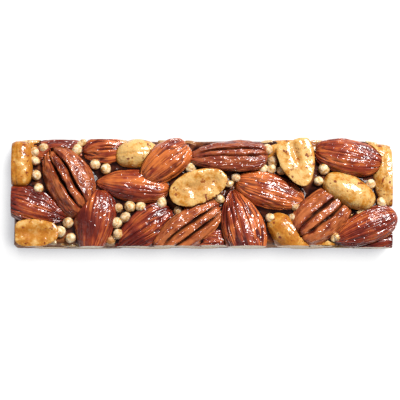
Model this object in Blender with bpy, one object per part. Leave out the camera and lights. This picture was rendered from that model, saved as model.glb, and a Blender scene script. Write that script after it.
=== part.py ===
"""A nut bar: almonds, peanuts and pecan halves set in a slab of hard syrup, with puffed grains between them.

The bar lies flat, its length along X and its width along Y, with the origin under its middle. It was cut from
a wide slab, so its long sides and ends are flat and go straight through the nuts that stood in the knife's way.
Every nut is a solid of its own. It sits in a pocket of the syrup, clear of its neighbours by one small gap.
"""

import math
import random
from collections import namedtuple

import bmesh
import bpy
from mathutils import Euler, Vector, noise

MM = 0.001

# Driving dimensions of the bar
BAR_LENGTH = 120 * MM
BAR_WIDTH = 33.2 * MM
SYRUP_HEIGHT = 10.6 * MM
SYRUP_ROUGHNESS = 0.7 * MM
RIGHT_CUT = 58.5 * MM
NUT_FLOOR = 0.1 * MM
GAP = 0.35 * MM

# How finely the syrup's upper face is divided, along and across
SYRUP_STEPS = (24, 7)
SYRUP_LUMP = 7 * MM

# The syrup's upper edge slopes off, by this much inwards and downwards
SHOULDER_IN = 1.3 * MM
SHOULDER_DOWN = 1.8 * MM

# How far the nuts stand out of the syrup at each end and at the back
LEFT_GAP = 0.7 * MM
RIGHT_GAP = 0.5 * MM
BACK_GAP = 0.3 * MM

# The back is cut at a slant near the right end, from this place on and by this much at the right cut
CORNER_START = 50 * MM
CORNER_IN = 2.0 * MM

# Cut faces that meet at less than this angle are one face, and points nearer than this are one point
FLAT_ANGLE = math.radians(0.6)
WELD = 0.004 * MM
SHARP_ANGLE = math.radians(50)

# The nuts near the base that only the sides and the underside show: rows in mm across, each with a count of nuts
BASE_SEED = 11
BASE_ROWS = ((-12.8, 7), (0.0, 6), (12.8, 7))
BASE_PITCH = 16.9
BASE_SUNK = 0.7
BASE_SIZES = {"almond": (20.0, 10.8), "peanut": (15.5, 9.0), "pecan": (20.5, 11.4)}

# Puffed grains
GRAIN_RADIUS = 1.65 * MM
GRAIN_LIFT = 0.9 * MM
GRAIN_SEGMENTS = 6
GRAIN_RINGS = 4

# A nut's outline narrows with the powers blunt and point towards its two ends; thickness is a share of its width
Form = namedtuple("Form", "blunt point thickness stations colour roughness")
FORMS = {
    "almond": Form(0.50, 0.68, 0.66, 7, (0.30, 0.085, 0.022), 0.35),
    "peanut": Form(0.42, 0.46, 0.84, 7, (0.72, 0.42, 0.11), 0.42),
    "split": Form(0.40, 0.46, 0.56, 7, (0.80, 0.52, 0.17), 0.42),
    "pecan": Form(0.30, 0.36, 0.62, 8, (0.33, 0.12, 0.040), 0.38),
}
SYRUP_COLOUR = (0.085, 0.028, 0.010)

# Where the surface points of a nut lie round its long axis, in degrees from its side edge over the top
ROUND_ANGLES = (0, 40, 90, 140, 180, 225, 270, 315)
COARSE_ANGLES = (0, 60, 120, 180, 240, 300)
SPLIT_ANGLES = (0, 25, 90, 155, 180, 225, 270, 315)
PECAN_ANGLES = (0, 42, 66, 76, 85, 95, 104, 114, 138, 180, 240, 300)
COARSE_STATIONS = 6

# A pecan's two furrows, across its back, which notch its ends, and the shallow dish of a split peanut
FURROW_PLACE = 0.24
FURROW_WIDTH = 0.11
FURROW_DEPTH = 0.50
NOTCH_WIDTH = 0.20
NOTCH_DEPTH = 0.09
PECAN_UNDERSIDE = 0.70
SPLIT_FACE = 0.30
DISH_WIDTH = 0.42
DISH_DEPTH = 0.75

# Places in mm from the origin. Top is the nut's highest point and heading points at its narrow end, in degrees.
# Blunt and point replace the form's own powers. The narrow end leans: what lies to the left of the nut's middle is
# shifted along it, by its distance times the lean. Overhang is how far it reaches past the knife's cut at its side.
Nut = namedtuple(
    "Nut",
    "name form x y top length width heading pitch roll blunt point lean overhang",
    defaults=(0, 0, None, None, 0, 0),
)

# The nuts of the upper face, each one above those that follow it
UPPER_NUTS = (
    Nut("almond_04", "almond", -12.2, 9.2, 16.0, 18.0, 11.8, 219, 2, -2, blunt=0.38, point=0.48, overhang=0.6),
    Nut("peanut_04", "split", -1.9, 1.2, 15.4, 18.4, 10.4, 20, 0, 6, blunt=0.38, point=0.42),
    Nut("peanut_06", "peanut", 45.0, 0.1, 15.8, 17.2, 9.8, -27, blunt=0.36, point=0.38),
    Nut("peanut_05", "split", 29.1, 8.6, 15.5, 14.8, 11.6, -74, -5, blunt=0.16, point=0.50),
    Nut("pecan_01", "pecan", -42.6, 4.2, 15.4, 22.2, 15.4, -59, 0, 8, blunt=0.44, point=0.28, lean=-0.34),
    Nut("almond_05", "almond", 11.8, -10.7, 15.6, 24.6, 13.6, 105, 4, -8, overhang=0.6),
    Nut("almond_07", "almond", 45.0, 10.9, 15.2, 21.6, 11.6, 169, blunt=0.42, point=0.42, overhang=0.6),
    Nut("pecan_02", "pecan", 7.6, 11.1, 15.2, 24.4, 10.7, 182, 0, 20, blunt=0.26, point=0.42, overhang=0.3),
    Nut("almond_02", "almond", -34.3, -10.2, 15.0, 22.0, 13.2, -99, 0, 6, blunt=0.38, overhang=0.5),
    Nut("pecan_04", "pecan", 37.0, -6.8, 14.8, 21.8, 14.8, 42, 0, 4, blunt=0.28),
    Nut("almond_08", "almond", 49.9, -11.3, 14.6, 21.8, 11.0, 203, 0, -6, blunt=0.44, overhang=0.6),
    Nut("peanut_01", "peanut", -57.5, 8.6, 14.8, 14.2, 8.2, 89, blunt=0.26, point=0.28),
    Nut("peanut_02", "split", -51.9, -13.2, 14.2, 13.4, 8.8, 2, blunt=0.24, point=0.38, overhang=0.6),
    Nut("almond_01", "almond", -53.4, -4.4, 14.4, 22.8, 11.4, -19),
    Nut("almond_03", "almond", -22.4, 2.0, 14.2, 22.8, 10.8, 174, blunt=0.44),
    Nut("almond_06", "almond", 20.6, 0.2, 14.2, 21.8, 11.8, 163, blunt=0.46, point=0.38),
    Nut("peanut_03", "peanut", -20.9, 12.2, 14.2, 14.0, 8.8, 4, blunt=0.36, point=0.40, overhang=0.2),
    Nut("pecan_03", "pecan", -4.6, -11.5, 14.0, 25.0, 13.0, 36, 0, 16, point=0.30, overhang=0.3),
    Nut("almond_10", "almond", -18.9, -11.6, 13.9, 21.6, 12.2, 215, blunt=0.40, overhang=0.4),
    Nut("peanut_07", "peanut", 26.4, -13.4, 13.8, 17.4, 9.8, -46, blunt=0.38, overhang=0.3),
    Nut("peanut_08", "peanut", 57.2, 4.6, 13.6, 18.4, 8.8, 95, blunt=0.30, point=0.32),
    Nut("almond_09", "almond", -29.8, 13.0, 13.2, 16.6, 9.8, 4, 0, 14, blunt=0.40),
    Nut("peanut_09", "peanut", 34.6, -15.2, 11.6, 15.0, 8.0, -3),
)

# The nuts of which only a sliver shows between those above them
LOWER_NUTS = (
    Nut("almond_11", "almond", -44.4, 13.0, 12.6, 20.0, 9.4, 2),
    Nut("peanut_10", "peanut", -54.0, 13.4, 11.6, 13.0, 8.0, 15),
    Nut("peanut_11", "peanut", 54.4, 11.4, 13.0, 13.0, 8.0, -12, blunt=0.34),
    Nut("peanut_12", "peanut", 24.0, 13.2, 12.0, 13.4, 8.2, 10),
    Nut("almond_12", "almond", 5.0, -14.4, 11.6, 18.0, 9.6, 6),
    Nut("peanut_13", "peanut", 46.8, -7.6, 11.2, 13.0, 8.4, 30),
    Nut("almond_13", "almond", 54.6, -14.0, 11.6, 18.0, 9.6, 10, overhang=0.6),
)

# The one nut whose round end stands out past the knife's cut
UNCUT_NUT = "almond_08"

# Grains by their places in mm and their size as a share of the usual one
Grain = namedtuple("Grain", "x y size")
GRAINS = (
    Grain(-52.9, 12.6, 0.88),
    Grain(-52.8, 9.8, 0.92),
    Grain(-50.1, 13.8, 0.92),
    Grain(-52.3, 5.3, 0.98),
    Grain(-51.6, 1.1, 1.05),
    Grain(-42.3, -9.6, 0.98),
    Grain(-44.7, -12.4, 1.00),
    Grain(-41.4, -14.4, 1.05),
    Grain(-39.8, 13.2, 1.08),
    Grain(-34.0, 8.7, 1.05),
    Grain(-30.7, 7.3, 1.02),
    Grain(-26.8, -5.0, 0.88),
    Grain(-23.1, -4.6, 1.04),
    Grain(-19.8, -4.6, 0.96),
    Grain(-13.2, -3.5, 1.10),
    Grain(-24.7, -8.0, 1.06),
    Grain(-27.2, -9.7, 1.12),
    Grain(-26.8, -13.2, 0.94),
    Grain(-29.2, -15.2, 0.92),
    Grain(-4.3, 7.6, 1.02),
    Grain(9.9, 4.5, 0.88),
    Grain(4.8, -2.2, 0.92),
    Grain(19.9, 13.4, 1.05),
    Grain(21.4, 9.6, 0.98),
    Grain(18.3, 7.3, 0.92),
    Grain(21.0, 7.2, 0.92),
    Grain(24.1, 6.7, 0.94),
    Grain(37.3, 7.2, 1.04),
    Grain(35.6, 3.4, 1.02),
    Grain(51.8, 2.4, 0.98),
    Grain(55.2, -3.1, 1.06),
    Grain(20.4, -8.1, 1.02),
    Grain(27.5, -8.1, 0.92),
    Grain(28.2, -4.4, 0.88),
    Grain(-8.2, -5.8, 0.84),
    Grain(41.4, -14.2, 0.92),
)


def clear_scene():
    for obj in list(bpy.data.objects):
        bpy.data.objects.remove(obj, do_unlink=True)


def make_material(name, colour, roughness):
    material = bpy.data.materials.new(name)
    material.use_nodes = True
    shader = material.node_tree.nodes["Principled BSDF"]
    shader.inputs["Base Color"].default_value = (*colour, 1.0)
    shader.inputs["Roughness"].default_value = roughness
    shader.inputs["Metallic"].default_value = 0.0
    material.diffuse_color = (*colour, 1.0)
    return material


def add_object(name, bm, material=None):
    mesh = bpy.data.meshes.new(name)
    bm.to_mesh(mesh)
    bm.free()
    obj = bpy.data.objects.new(name, mesh)
    bpy.context.scene.collection.objects.link(obj)
    if material:
        mesh.materials.append(material)
    return obj


def shade_round(mesh):
    """Round faces are shaded smooth and the knife's cuts keep their sharp edges."""
    mesh.shade_smooth()
    mesh.set_sharp_from_angle(angle=SHARP_ANGLE)


def end_share(u, blunt, point):
    """Half width at u, from 0 at the blunt end to 1 at the narrow end, as a share of the widest."""
    peak = blunt / (blunt + point)
    return (u / peak) ** blunt * ((1 - u) / (1 - peak)) ** point


def surface_height(kind, across, up, u, plain):
    """Height of a nut's surface as a share of its half thickness; a plain one has no furrows and no dish."""
    if kind == "pecan" and up > 0:
        furrow = 0 if plain else math.exp(-(((abs(across) - FURROW_PLACE) / FURROW_WIDTH) ** 2))
        return up * (1 - FURROW_DEPTH * furrow * math.sin(math.pi * u) ** 0.35)
    if kind == "pecan":
        return up * PECAN_UNDERSIDE
    if kind == "split" and up > 0:
        dish = 0 if plain else DISH_DEPTH * math.exp(-((across / DISH_WIDTH) ** 2)) * math.sin(math.pi * u)
        return SPLIT_FACE * (up**0.5 - dish)
    return up


def drawn_in(nut, across, u, plain):
    """How far a pecan's ends are drawn in where its furrows run out over them, as a share of the half length."""
    if nut.form != "pecan" or plain:
        return 0
    return NOTCH_DEPTH * math.exp(-(((abs(across) - FURROW_PLACE) / NOTCH_WIDTH) ** 2)) * abs(2 * u - 1) ** 3


def angles_of(nut, plain):
    if nut.name.startswith("base"):
        return COARSE_ANGLES
    if plain:
        return ROUND_ANGLES
    return {"pecan": PECAN_ANGLES, "split": SPLIT_ANGLES}.get(nut.form, ROUND_ANGLES)


def nut_shell(nut, plain=False):
    """The nut's closed surface in its own frame, narrow end towards +X, made ring by ring."""
    form = FORMS[nut.form]
    blunt = form.blunt if nut.blunt is None else nut.blunt
    point = form.point if nut.point is None else nut.point
    length = nut.length * MM
    half_width = nut.width / 2 * MM
    half_thickness = half_width * form.thickness
    stations = COARSE_STATIONS if nut.name.startswith("base") else form.stations
    bm = bmesh.new()
    rings = []
    for station in range(1, stations):
        u = (1 - math.cos(math.pi * station / stations)) / 2
        share = end_share(u, blunt, point)
        ring = []
        for angle in angles_of(nut, plain):
            across = math.cos(math.radians(angle))
            up = math.sin(math.radians(angle))
            height = surface_height(nut.form, across, up, u, plain)
            x = (u - 0.5) * length * (1 - drawn_in(nut, across, u, plain))
            y = across * share * half_width
            ring.append(bm.verts.new((x + nut.lean * y * u, y, height * share * half_thickness)))
        rings.append(ring)
    blunt_end = bm.verts.new((-length / 2, 0, 0))
    narrow_end = bm.verts.new((length / 2, 0, 0))
    count = len(rings[0])
    for i in range(count):
        j = (i + 1) % count
        bm.faces.new((blunt_end, rings[0][j], rings[0][i]))
        for lower, upper in zip(rings, rings[1:]):
            bm.faces.new((lower[i], lower[j], upper[j], upper[i]))
        bm.faces.new((narrow_end, rings[-1][i], rings[-1][j]))
    bmesh.ops.recalc_face_normals(bm, faces=bm.faces)
    bmesh.ops.triangulate(bm, faces=bm.faces)
    return bm


def set_place(obj, nut):
    half_thickness = nut.width / 2 * FORMS[nut.form].thickness
    top_share = SPLIT_FACE if nut.form == "split" else 1.0
    obj.location = Vector((nut.x, nut.y, nut.top - half_thickness * top_share)) * MM
    obj.rotation_euler = Euler([math.radians(a) for a in (nut.roll, nut.pitch, nut.heading)])
    bpy.context.view_layer.update()


def cut_planes(nut):
    """The planes that the nut stays behind, each a point and the direction that is cut away."""
    right = BAR_LENGTH / 2 if nut.name == UNCUT_NUT else RIGHT_CUT
    side = BAR_WIDTH / 2 + nut.overhang * MM
    return (
        (Vector((right, 0, 0)), Vector((1, 0, 0))),
        (Vector((-BAR_LENGTH / 2, 0, 0)), Vector((-1, 0, 0))),
        (Vector((0, side, 0)), Vector((0, 1, 0))),
        (Vector((0, -side, 0)), Vector((0, -1, 0))),
        (Vector((CORNER_START, side, 0)), Vector((CORNER_IN, RIGHT_CUT - CORNER_START, 0)).normalized()),
        (Vector((0, 0, NUT_FLOOR)), Vector((0, 0, -1))),
    )


def trim_by_knife(obj, nut):
    """Cuts the nut flat where it crosses the bar's sides, ends or base."""
    bm = bmesh.new()
    bm.from_mesh(obj.data)
    to_local = obj.matrix_world.inverted()
    for point, normal in cut_planes(nut):
        local_point = to_local @ point
        local_normal = (to_local.to_3x3() @ normal).normalized()
        geometry = bm.verts[:] + bm.edges[:] + bm.faces[:]
        bmesh.ops.bisect_plane(
            bm, geom=geometry, dist=1e-7, plane_co=local_point, plane_no=local_normal, clear_outer=True
        )
        open_edges = [edge for edge in bm.edges if edge.is_boundary]
        if open_edges:
            filled = bmesh.ops.holes_fill(bm, edges=open_edges, sides=0)
            bmesh.ops.triangulate(bm, faces=filled["faces"])
    bmesh.ops.recalc_face_normals(bm, faces=bm.faces)
    bm.to_mesh(obj.data)
    bm.free()


def make_pocket_cutter(nut):
    """The nut's form grown by the gap all round, which hollows what the nut sits in."""
    bm = nut_shell(nut, plain=True)
    bm.normal_update()
    grown = [vert.co + vert.normal * GAP * min(vert.calc_shell_factor(), 1.5) for vert in bm.verts]
    for vert, place in zip(bm.verts, grown):
        vert.co = place
    cutter = add_object(f"pocket_of_{nut.name}", bm)
    set_place(cutter, nut)
    cutter.hide_render = True
    cutter.display_type = "WIRE"
    return cutter


def keep_largest_body(mesh):
    """Drops the loose scraps that a cut leaves beside the main body."""
    bm = bmesh.new()
    bm.from_mesh(mesh)
    left = set(bm.verts)
    bodies = []
    while left:
        stack = [left.pop()]
        body = set(stack)
        while stack:
            vert = stack.pop()
            near = {edge.other_vert(vert) for edge in vert.link_edges} & left
            left -= near
            body |= near
            stack.extend(near)
        bodies.append(body)
    bodies.sort(key=len)
    scraps = [vert for body in bodies[:-1] for vert in body]
    bmesh.ops.delete(bm, geom=scraps, context="VERTS")
    bm.to_mesh(mesh)
    bm.free()


def merge_flat_faces(mesh):
    """Joins the slivers that a cut leaves on flat faces, so that a face has no more triangles than it needs."""
    bm = bmesh.new()
    bm.from_mesh(mesh)
    bmesh.ops.remove_doubles(bm, verts=bm.verts, dist=WELD)
    bmesh.ops.dissolve_limit(bm, angle_limit=FLAT_ANGLE, verts=bm.verts, edges=bm.edges)
    bmesh.ops.triangulate(bm, faces=bm.faces)
    bm.to_mesh(mesh)
    bm.free()


def apply_booleans(obj, operation, tools):
    """Joins or subtracts the tools, one Boolean for all of them, and keeps the result as the object's own mesh."""
    if not tools:
        return
    collection = bpy.data.collections.new(f"tools_of_{obj.name}")
    bpy.context.scene.collection.children.link(collection)
    for tool in tools:
        collection.objects.link(tool)
    boolean = obj.modifiers.new(operation.title(), "BOOLEAN")
    boolean.operation = operation
    boolean.operand_type = "COLLECTION"
    boolean.collection = collection
    boolean.solver = "EXACT"
    graph = bpy.context.evaluated_depsgraph_get()
    cut = bpy.data.meshes.new_from_object(obj.evaluated_get(graph))
    obj.modifiers.clear()
    obj.data = cut
    bpy.data.collections.remove(collection)
    keep_largest_body(cut)
    merge_flat_faces(cut)


def reach(obj):
    """Lowest and highest corner of an object in the bar's frame."""
    corners = [obj.matrix_world @ Vector(corner) for corner in obj.bound_box]
    return [(min(c[i] for c in corners), max(c[i] for c in corners)) for i in range(3)]


def near_each_other(one, other):
    return all(a[0] < b[1] and b[0] < a[1] for a, b in zip(reach(one), reach(other)))


def make_nut(nut, materials, cutters_above):
    """One nut, cut by the knife and hollowed wherever a nut above it presses in."""
    obj = add_object(nut.name, nut_shell(nut), materials[nut.form])
    set_place(obj, nut)
    trim_by_knife(obj, nut)
    apply_booleans(obj, "DIFFERENCE", [cutter for cutter in cutters_above if near_each_other(obj, cutter)])
    shade_round(obj.data)
    return obj


def base_nuts():
    """Rows of nuts along the base, each just through it, mixed, turned and shifted by a seeded draw."""
    rng = random.Random(BASE_SEED)
    nuts = []
    for y, count in BASE_ROWS:
        for step in range(count):
            kind = rng.choice(("almond", "peanut", "almond", "peanut", "pecan"))
            length, width = (size * rng.uniform(0.94, 1.06) for size in BASE_SIZES[kind])
            underside = PECAN_UNDERSIDE if kind == "pecan" else 1.0
            thickness = width * FORMS[kind].thickness * (1 + underside) / 2
            nut = Nut(
                name=f"base_{kind}_{len(nuts) + 1:02d}",
                form=kind,
                x=(step - (count - 1) / 2) * BASE_PITCH + rng.uniform(-1.2, 1.2),
                y=y + rng.uniform(-0.8, 0.8),
                top=thickness - BASE_SUNK,
                length=length,
                width=width,
                heading=rng.choice((0, 180)) + rng.uniform(-30, 30),
                pitch=0,
                roll=rng.uniform(-10, 10),
            )
            nuts.append(nut)
    return nuts


def syrup_back(x):
    """Where the syrup ends at the back: a straight edge, then a slanted one near the right end."""
    slanted = max(0, x - CORNER_START) / (RIGHT_CUT - CORNER_START)
    return BAR_WIDTH / 2 - BACK_GAP - CORNER_IN * slanted


def syrup_block():
    """The slab of syrup before the nuts' pockets are cut: lumpy above, with sloped shoulders, and flat all round."""
    along, across = SYRUP_STEPS
    left = LEFT_GAP - BAR_LENGTH / 2
    right = RIGHT_CUT - RIGHT_GAP
    front = -BAR_WIDTH / 2
    bm = bmesh.new()
    upper = []
    for j in range(across + 1):
        row = []
        for i in range(along + 1):
            x = left + SHOULDER_IN + (right - left - 2 * SHOULDER_IN) * i / along
            y = front + SHOULDER_IN + (syrup_back(x) - front - 2 * SHOULDER_IN) * j / across
            lump = noise.noise(Vector((x, y, 0)) / SYRUP_LUMP) * SYRUP_ROUGHNESS
            row.append(bm.verts.new((x, y, SYRUP_HEIGHT + lump)))
        upper.append(row)
    for j in range(across):
        for i in range(along):
            bm.faces.new((upper[j][i], upper[j][i + 1], upper[j + 1][i + 1], upper[j + 1][i]))
    rim = [(0, i) for i in range(along)] + [(j, along) for j in range(across)]
    rim += [(across, i) for i in range(along, 0, -1)] + [(j, 0) for j in range(across, 0, -1)]
    edge = [upper[j][i] for j, i in rim]
    shoulder, base = [], []
    for j, i in rim:
        x = left + (right - left) * i / along
        y = front + (syrup_back(x) - front) * j / across
        shoulder.append(bm.verts.new((x, y, SYRUP_HEIGHT - SHOULDER_DOWN)))
        base.append(bm.verts.new((x, y, 0)))
    for low, high in ((base, shoulder), (shoulder, edge)):
        for n in range(len(rim)):
            after = (n + 1) % len(rim)
            bm.faces.new((low[n], low[after], high[after], high[n]))
    bm.faces.new(list(reversed(base)))
    bmesh.ops.recalc_face_normals(bm, faces=bm.faces)
    bmesh.ops.triangulate(bm, faces=bm.faces)
    return bm


def make_grain(number, grain):
    """A puffed grain, half sunk in the syrup, with few sides."""
    bm = bmesh.new()
    radius = GRAIN_RADIUS * grain.size
    bmesh.ops.create_uvsphere(bm, u_segments=GRAIN_SEGMENTS, v_segments=GRAIN_RINGS, radius=radius)
    obj = add_object(f"grain_{number:02d}", bm)
    obj.location = (grain.x * MM, grain.y * MM, SYRUP_HEIGHT + GRAIN_LIFT)
    obj.rotation_euler = (0.4 * number, 0.7 * number, 1.1 * number)
    return obj


def make_syrup(cutters):
    """The syrup with its grains fused on and a pocket for every nut."""
    material = make_material("syrup", SYRUP_COLOUR, 0.25)
    syrup = add_object("syrup", syrup_block(), material)
    grains = [make_grain(number, grain) for number, grain in enumerate(GRAINS)]
    bpy.context.view_layer.update()
    apply_booleans(syrup, "UNION", grains)
    for grain in grains:
        bpy.data.objects.remove(grain)
    apply_booleans(syrup, "DIFFERENCE", cutters)
    shade_round(syrup.data)
    return syrup


def main():
    clear_scene()
    materials = {kind: make_material(kind, form.colour, form.roughness) for kind, form in FORMS.items()}
    cutters = []
    for nut in (*UPPER_NUTS, *LOWER_NUTS, *base_nuts()):
        make_nut(nut, materials, cutters)
        cutters.append(make_pocket_cutter(nut))
    make_syrup(cutters)
    for cutter in cutters:
        bpy.data.objects.remove(cutter)


main()
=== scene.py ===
"""Looks of a nut bar: almonds, peanuts, pecan halves and puffed grains set in dark hard syrup.

Every nut is a shell of rings along its length, placed as in the bar's construction, dented by the nuts
that lie on it and cut flat where the knife went through the bar. All sizes here are in millimetres and
become metres when a mesh is made, apart from the floor's and the lights', which are in metres.
"""

from __future__ import annotations

import logging
import math
import random
from collections.abc import Sequence
from dataclasses import dataclass, field
from enum import Enum
from typing import ClassVar

import bmesh
import bpy
import numpy as np
from mathutils import Euler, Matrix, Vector, noise

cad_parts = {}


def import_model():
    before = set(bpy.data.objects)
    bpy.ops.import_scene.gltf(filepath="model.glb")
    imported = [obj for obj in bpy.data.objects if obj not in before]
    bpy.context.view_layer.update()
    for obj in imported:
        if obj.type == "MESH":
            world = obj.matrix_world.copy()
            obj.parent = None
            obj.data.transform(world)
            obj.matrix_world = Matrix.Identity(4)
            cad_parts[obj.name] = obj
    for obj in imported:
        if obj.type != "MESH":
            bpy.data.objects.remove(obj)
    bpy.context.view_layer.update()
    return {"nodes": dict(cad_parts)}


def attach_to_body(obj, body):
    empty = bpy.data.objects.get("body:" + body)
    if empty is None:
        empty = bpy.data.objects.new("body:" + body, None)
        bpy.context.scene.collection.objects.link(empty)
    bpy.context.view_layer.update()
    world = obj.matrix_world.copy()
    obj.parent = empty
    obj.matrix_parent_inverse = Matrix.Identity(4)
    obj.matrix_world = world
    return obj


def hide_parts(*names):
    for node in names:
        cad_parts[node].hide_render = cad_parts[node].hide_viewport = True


log = logging.getLogger("nut_bar")

Pair = tuple[float, float]
Triple = tuple[float, float, float]
Colour = tuple[float, float, float, float]
Socket = bpy.types.NodeSocket

MM = 0.001

# How far one seed moves a pattern along each axis
SEED_STEP: Triple = (17.3, 5.9, 11.7)

# Large odd numbers that scatter whole numbers over 32 bits
SCATTER_X = 374761393
SCATTER_Y = 668265263
SCATTER_Z = 1440662683
SCATTER_SEED = 974634777
FIRST_STIR = 2246822519
SECOND_STIR = 3266489917
WORD = 0xFFFFFFFF
HALF_WORD = 0x7FFFFFFF

# About the largest sum that the layers of layered noise reach
LAYERED_REACH = 1.5

# Sockets of the mix node for two colours
MIX_SHARE = 0
MIX_FIRST = 6
MIX_SECOND = 7
MIX_RESULT = 2


class Slot(Enum):
    """The record's material slots."""

    SYRUP = "syrup"
    ALMOND = "almond"
    PEANUT = "peanut"
    SPLIT_PEANUT = "split_peanut"
    PECAN = "pecan"


def colour(red: int, green: int, blue: int) -> Colour:
    """Turns a colour as a screen shows it, in sRGB, into the shader's linear one.

    Args:
        red: Red, 0 to 255.
        green: Green, 0 to 255.
        blue: Blue, 0 to 255.

    Returns:
        The colour with an alpha of 1.
    """
    shares = (channel / 255 for channel in (red, green, blue))
    linear = (c / 12.92 if c <= 0.04045 else ((c + 0.055) / 1.055) ** 2.4 for c in shares)
    return (*linear, 1.0)


def grey(level: float) -> Colour:
    """Gives the grey of a level from 0 to 1."""
    return (level, level, level, 1.0)


def lattice_number(corner: np.ndarray, seed: int) -> np.ndarray:
    """Gives each whole-number point of space a random number of its own.

    Args:
        corner: Whole-number points, one per row.
        seed: Changes every number.

    Returns:
        One number from -1 to 1 for each point.
    """
    x, y, z = (corner[:, axis].astype(np.int64) for axis in range(3))
    mixed = (x * SCATTER_X + y * SCATTER_Y + z * SCATTER_Z + seed * SCATTER_SEED) & WORD
    mixed = ((mixed ^ (mixed >> 15)) * FIRST_STIR) & WORD
    mixed = ((mixed ^ (mixed >> 13)) * SECOND_STIR) & WORD
    return (mixed ^ (mixed >> 16)) / HALF_WORD - 1


def smooth_noise(points: np.ndarray, seed: int) -> np.ndarray:
    """Reads smooth noise with one wave to each unit of space.

    Args:
        points: Points, one per row.
        seed: Changes the noise.

    Returns:
        One number from -1 to 1 for each point.
    """
    base = np.floor(points)
    share = points - base
    fade = share**3 * (share * (share * 6 - 15) + 10)
    total = np.zeros(len(points))
    for offset in np.ndindex(2, 2, 2):
        weight = np.prod(np.where(np.array(offset) == 1, fade, 1 - fade), axis=1)
        total += weight * lattice_number(base + offset, seed)
    return total


def layered_noise(points: np.ndarray, seed: int, layers: int = 3) -> np.ndarray:
    """Adds up noise, each layer half as strong and twice as fine as the one before.

    Args:
        points: Points, one per row, with the coarsest wave one unit long.
        seed: Changes the noise.
        layers: Number of layers.

    Returns:
        One number, about -1 to 1, for each point.
    """
    total = sum(smooth_noise(points * 2**layer, seed + layer) / 2**layer for layer in range(layers))
    return total / LAYERED_REACH


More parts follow.
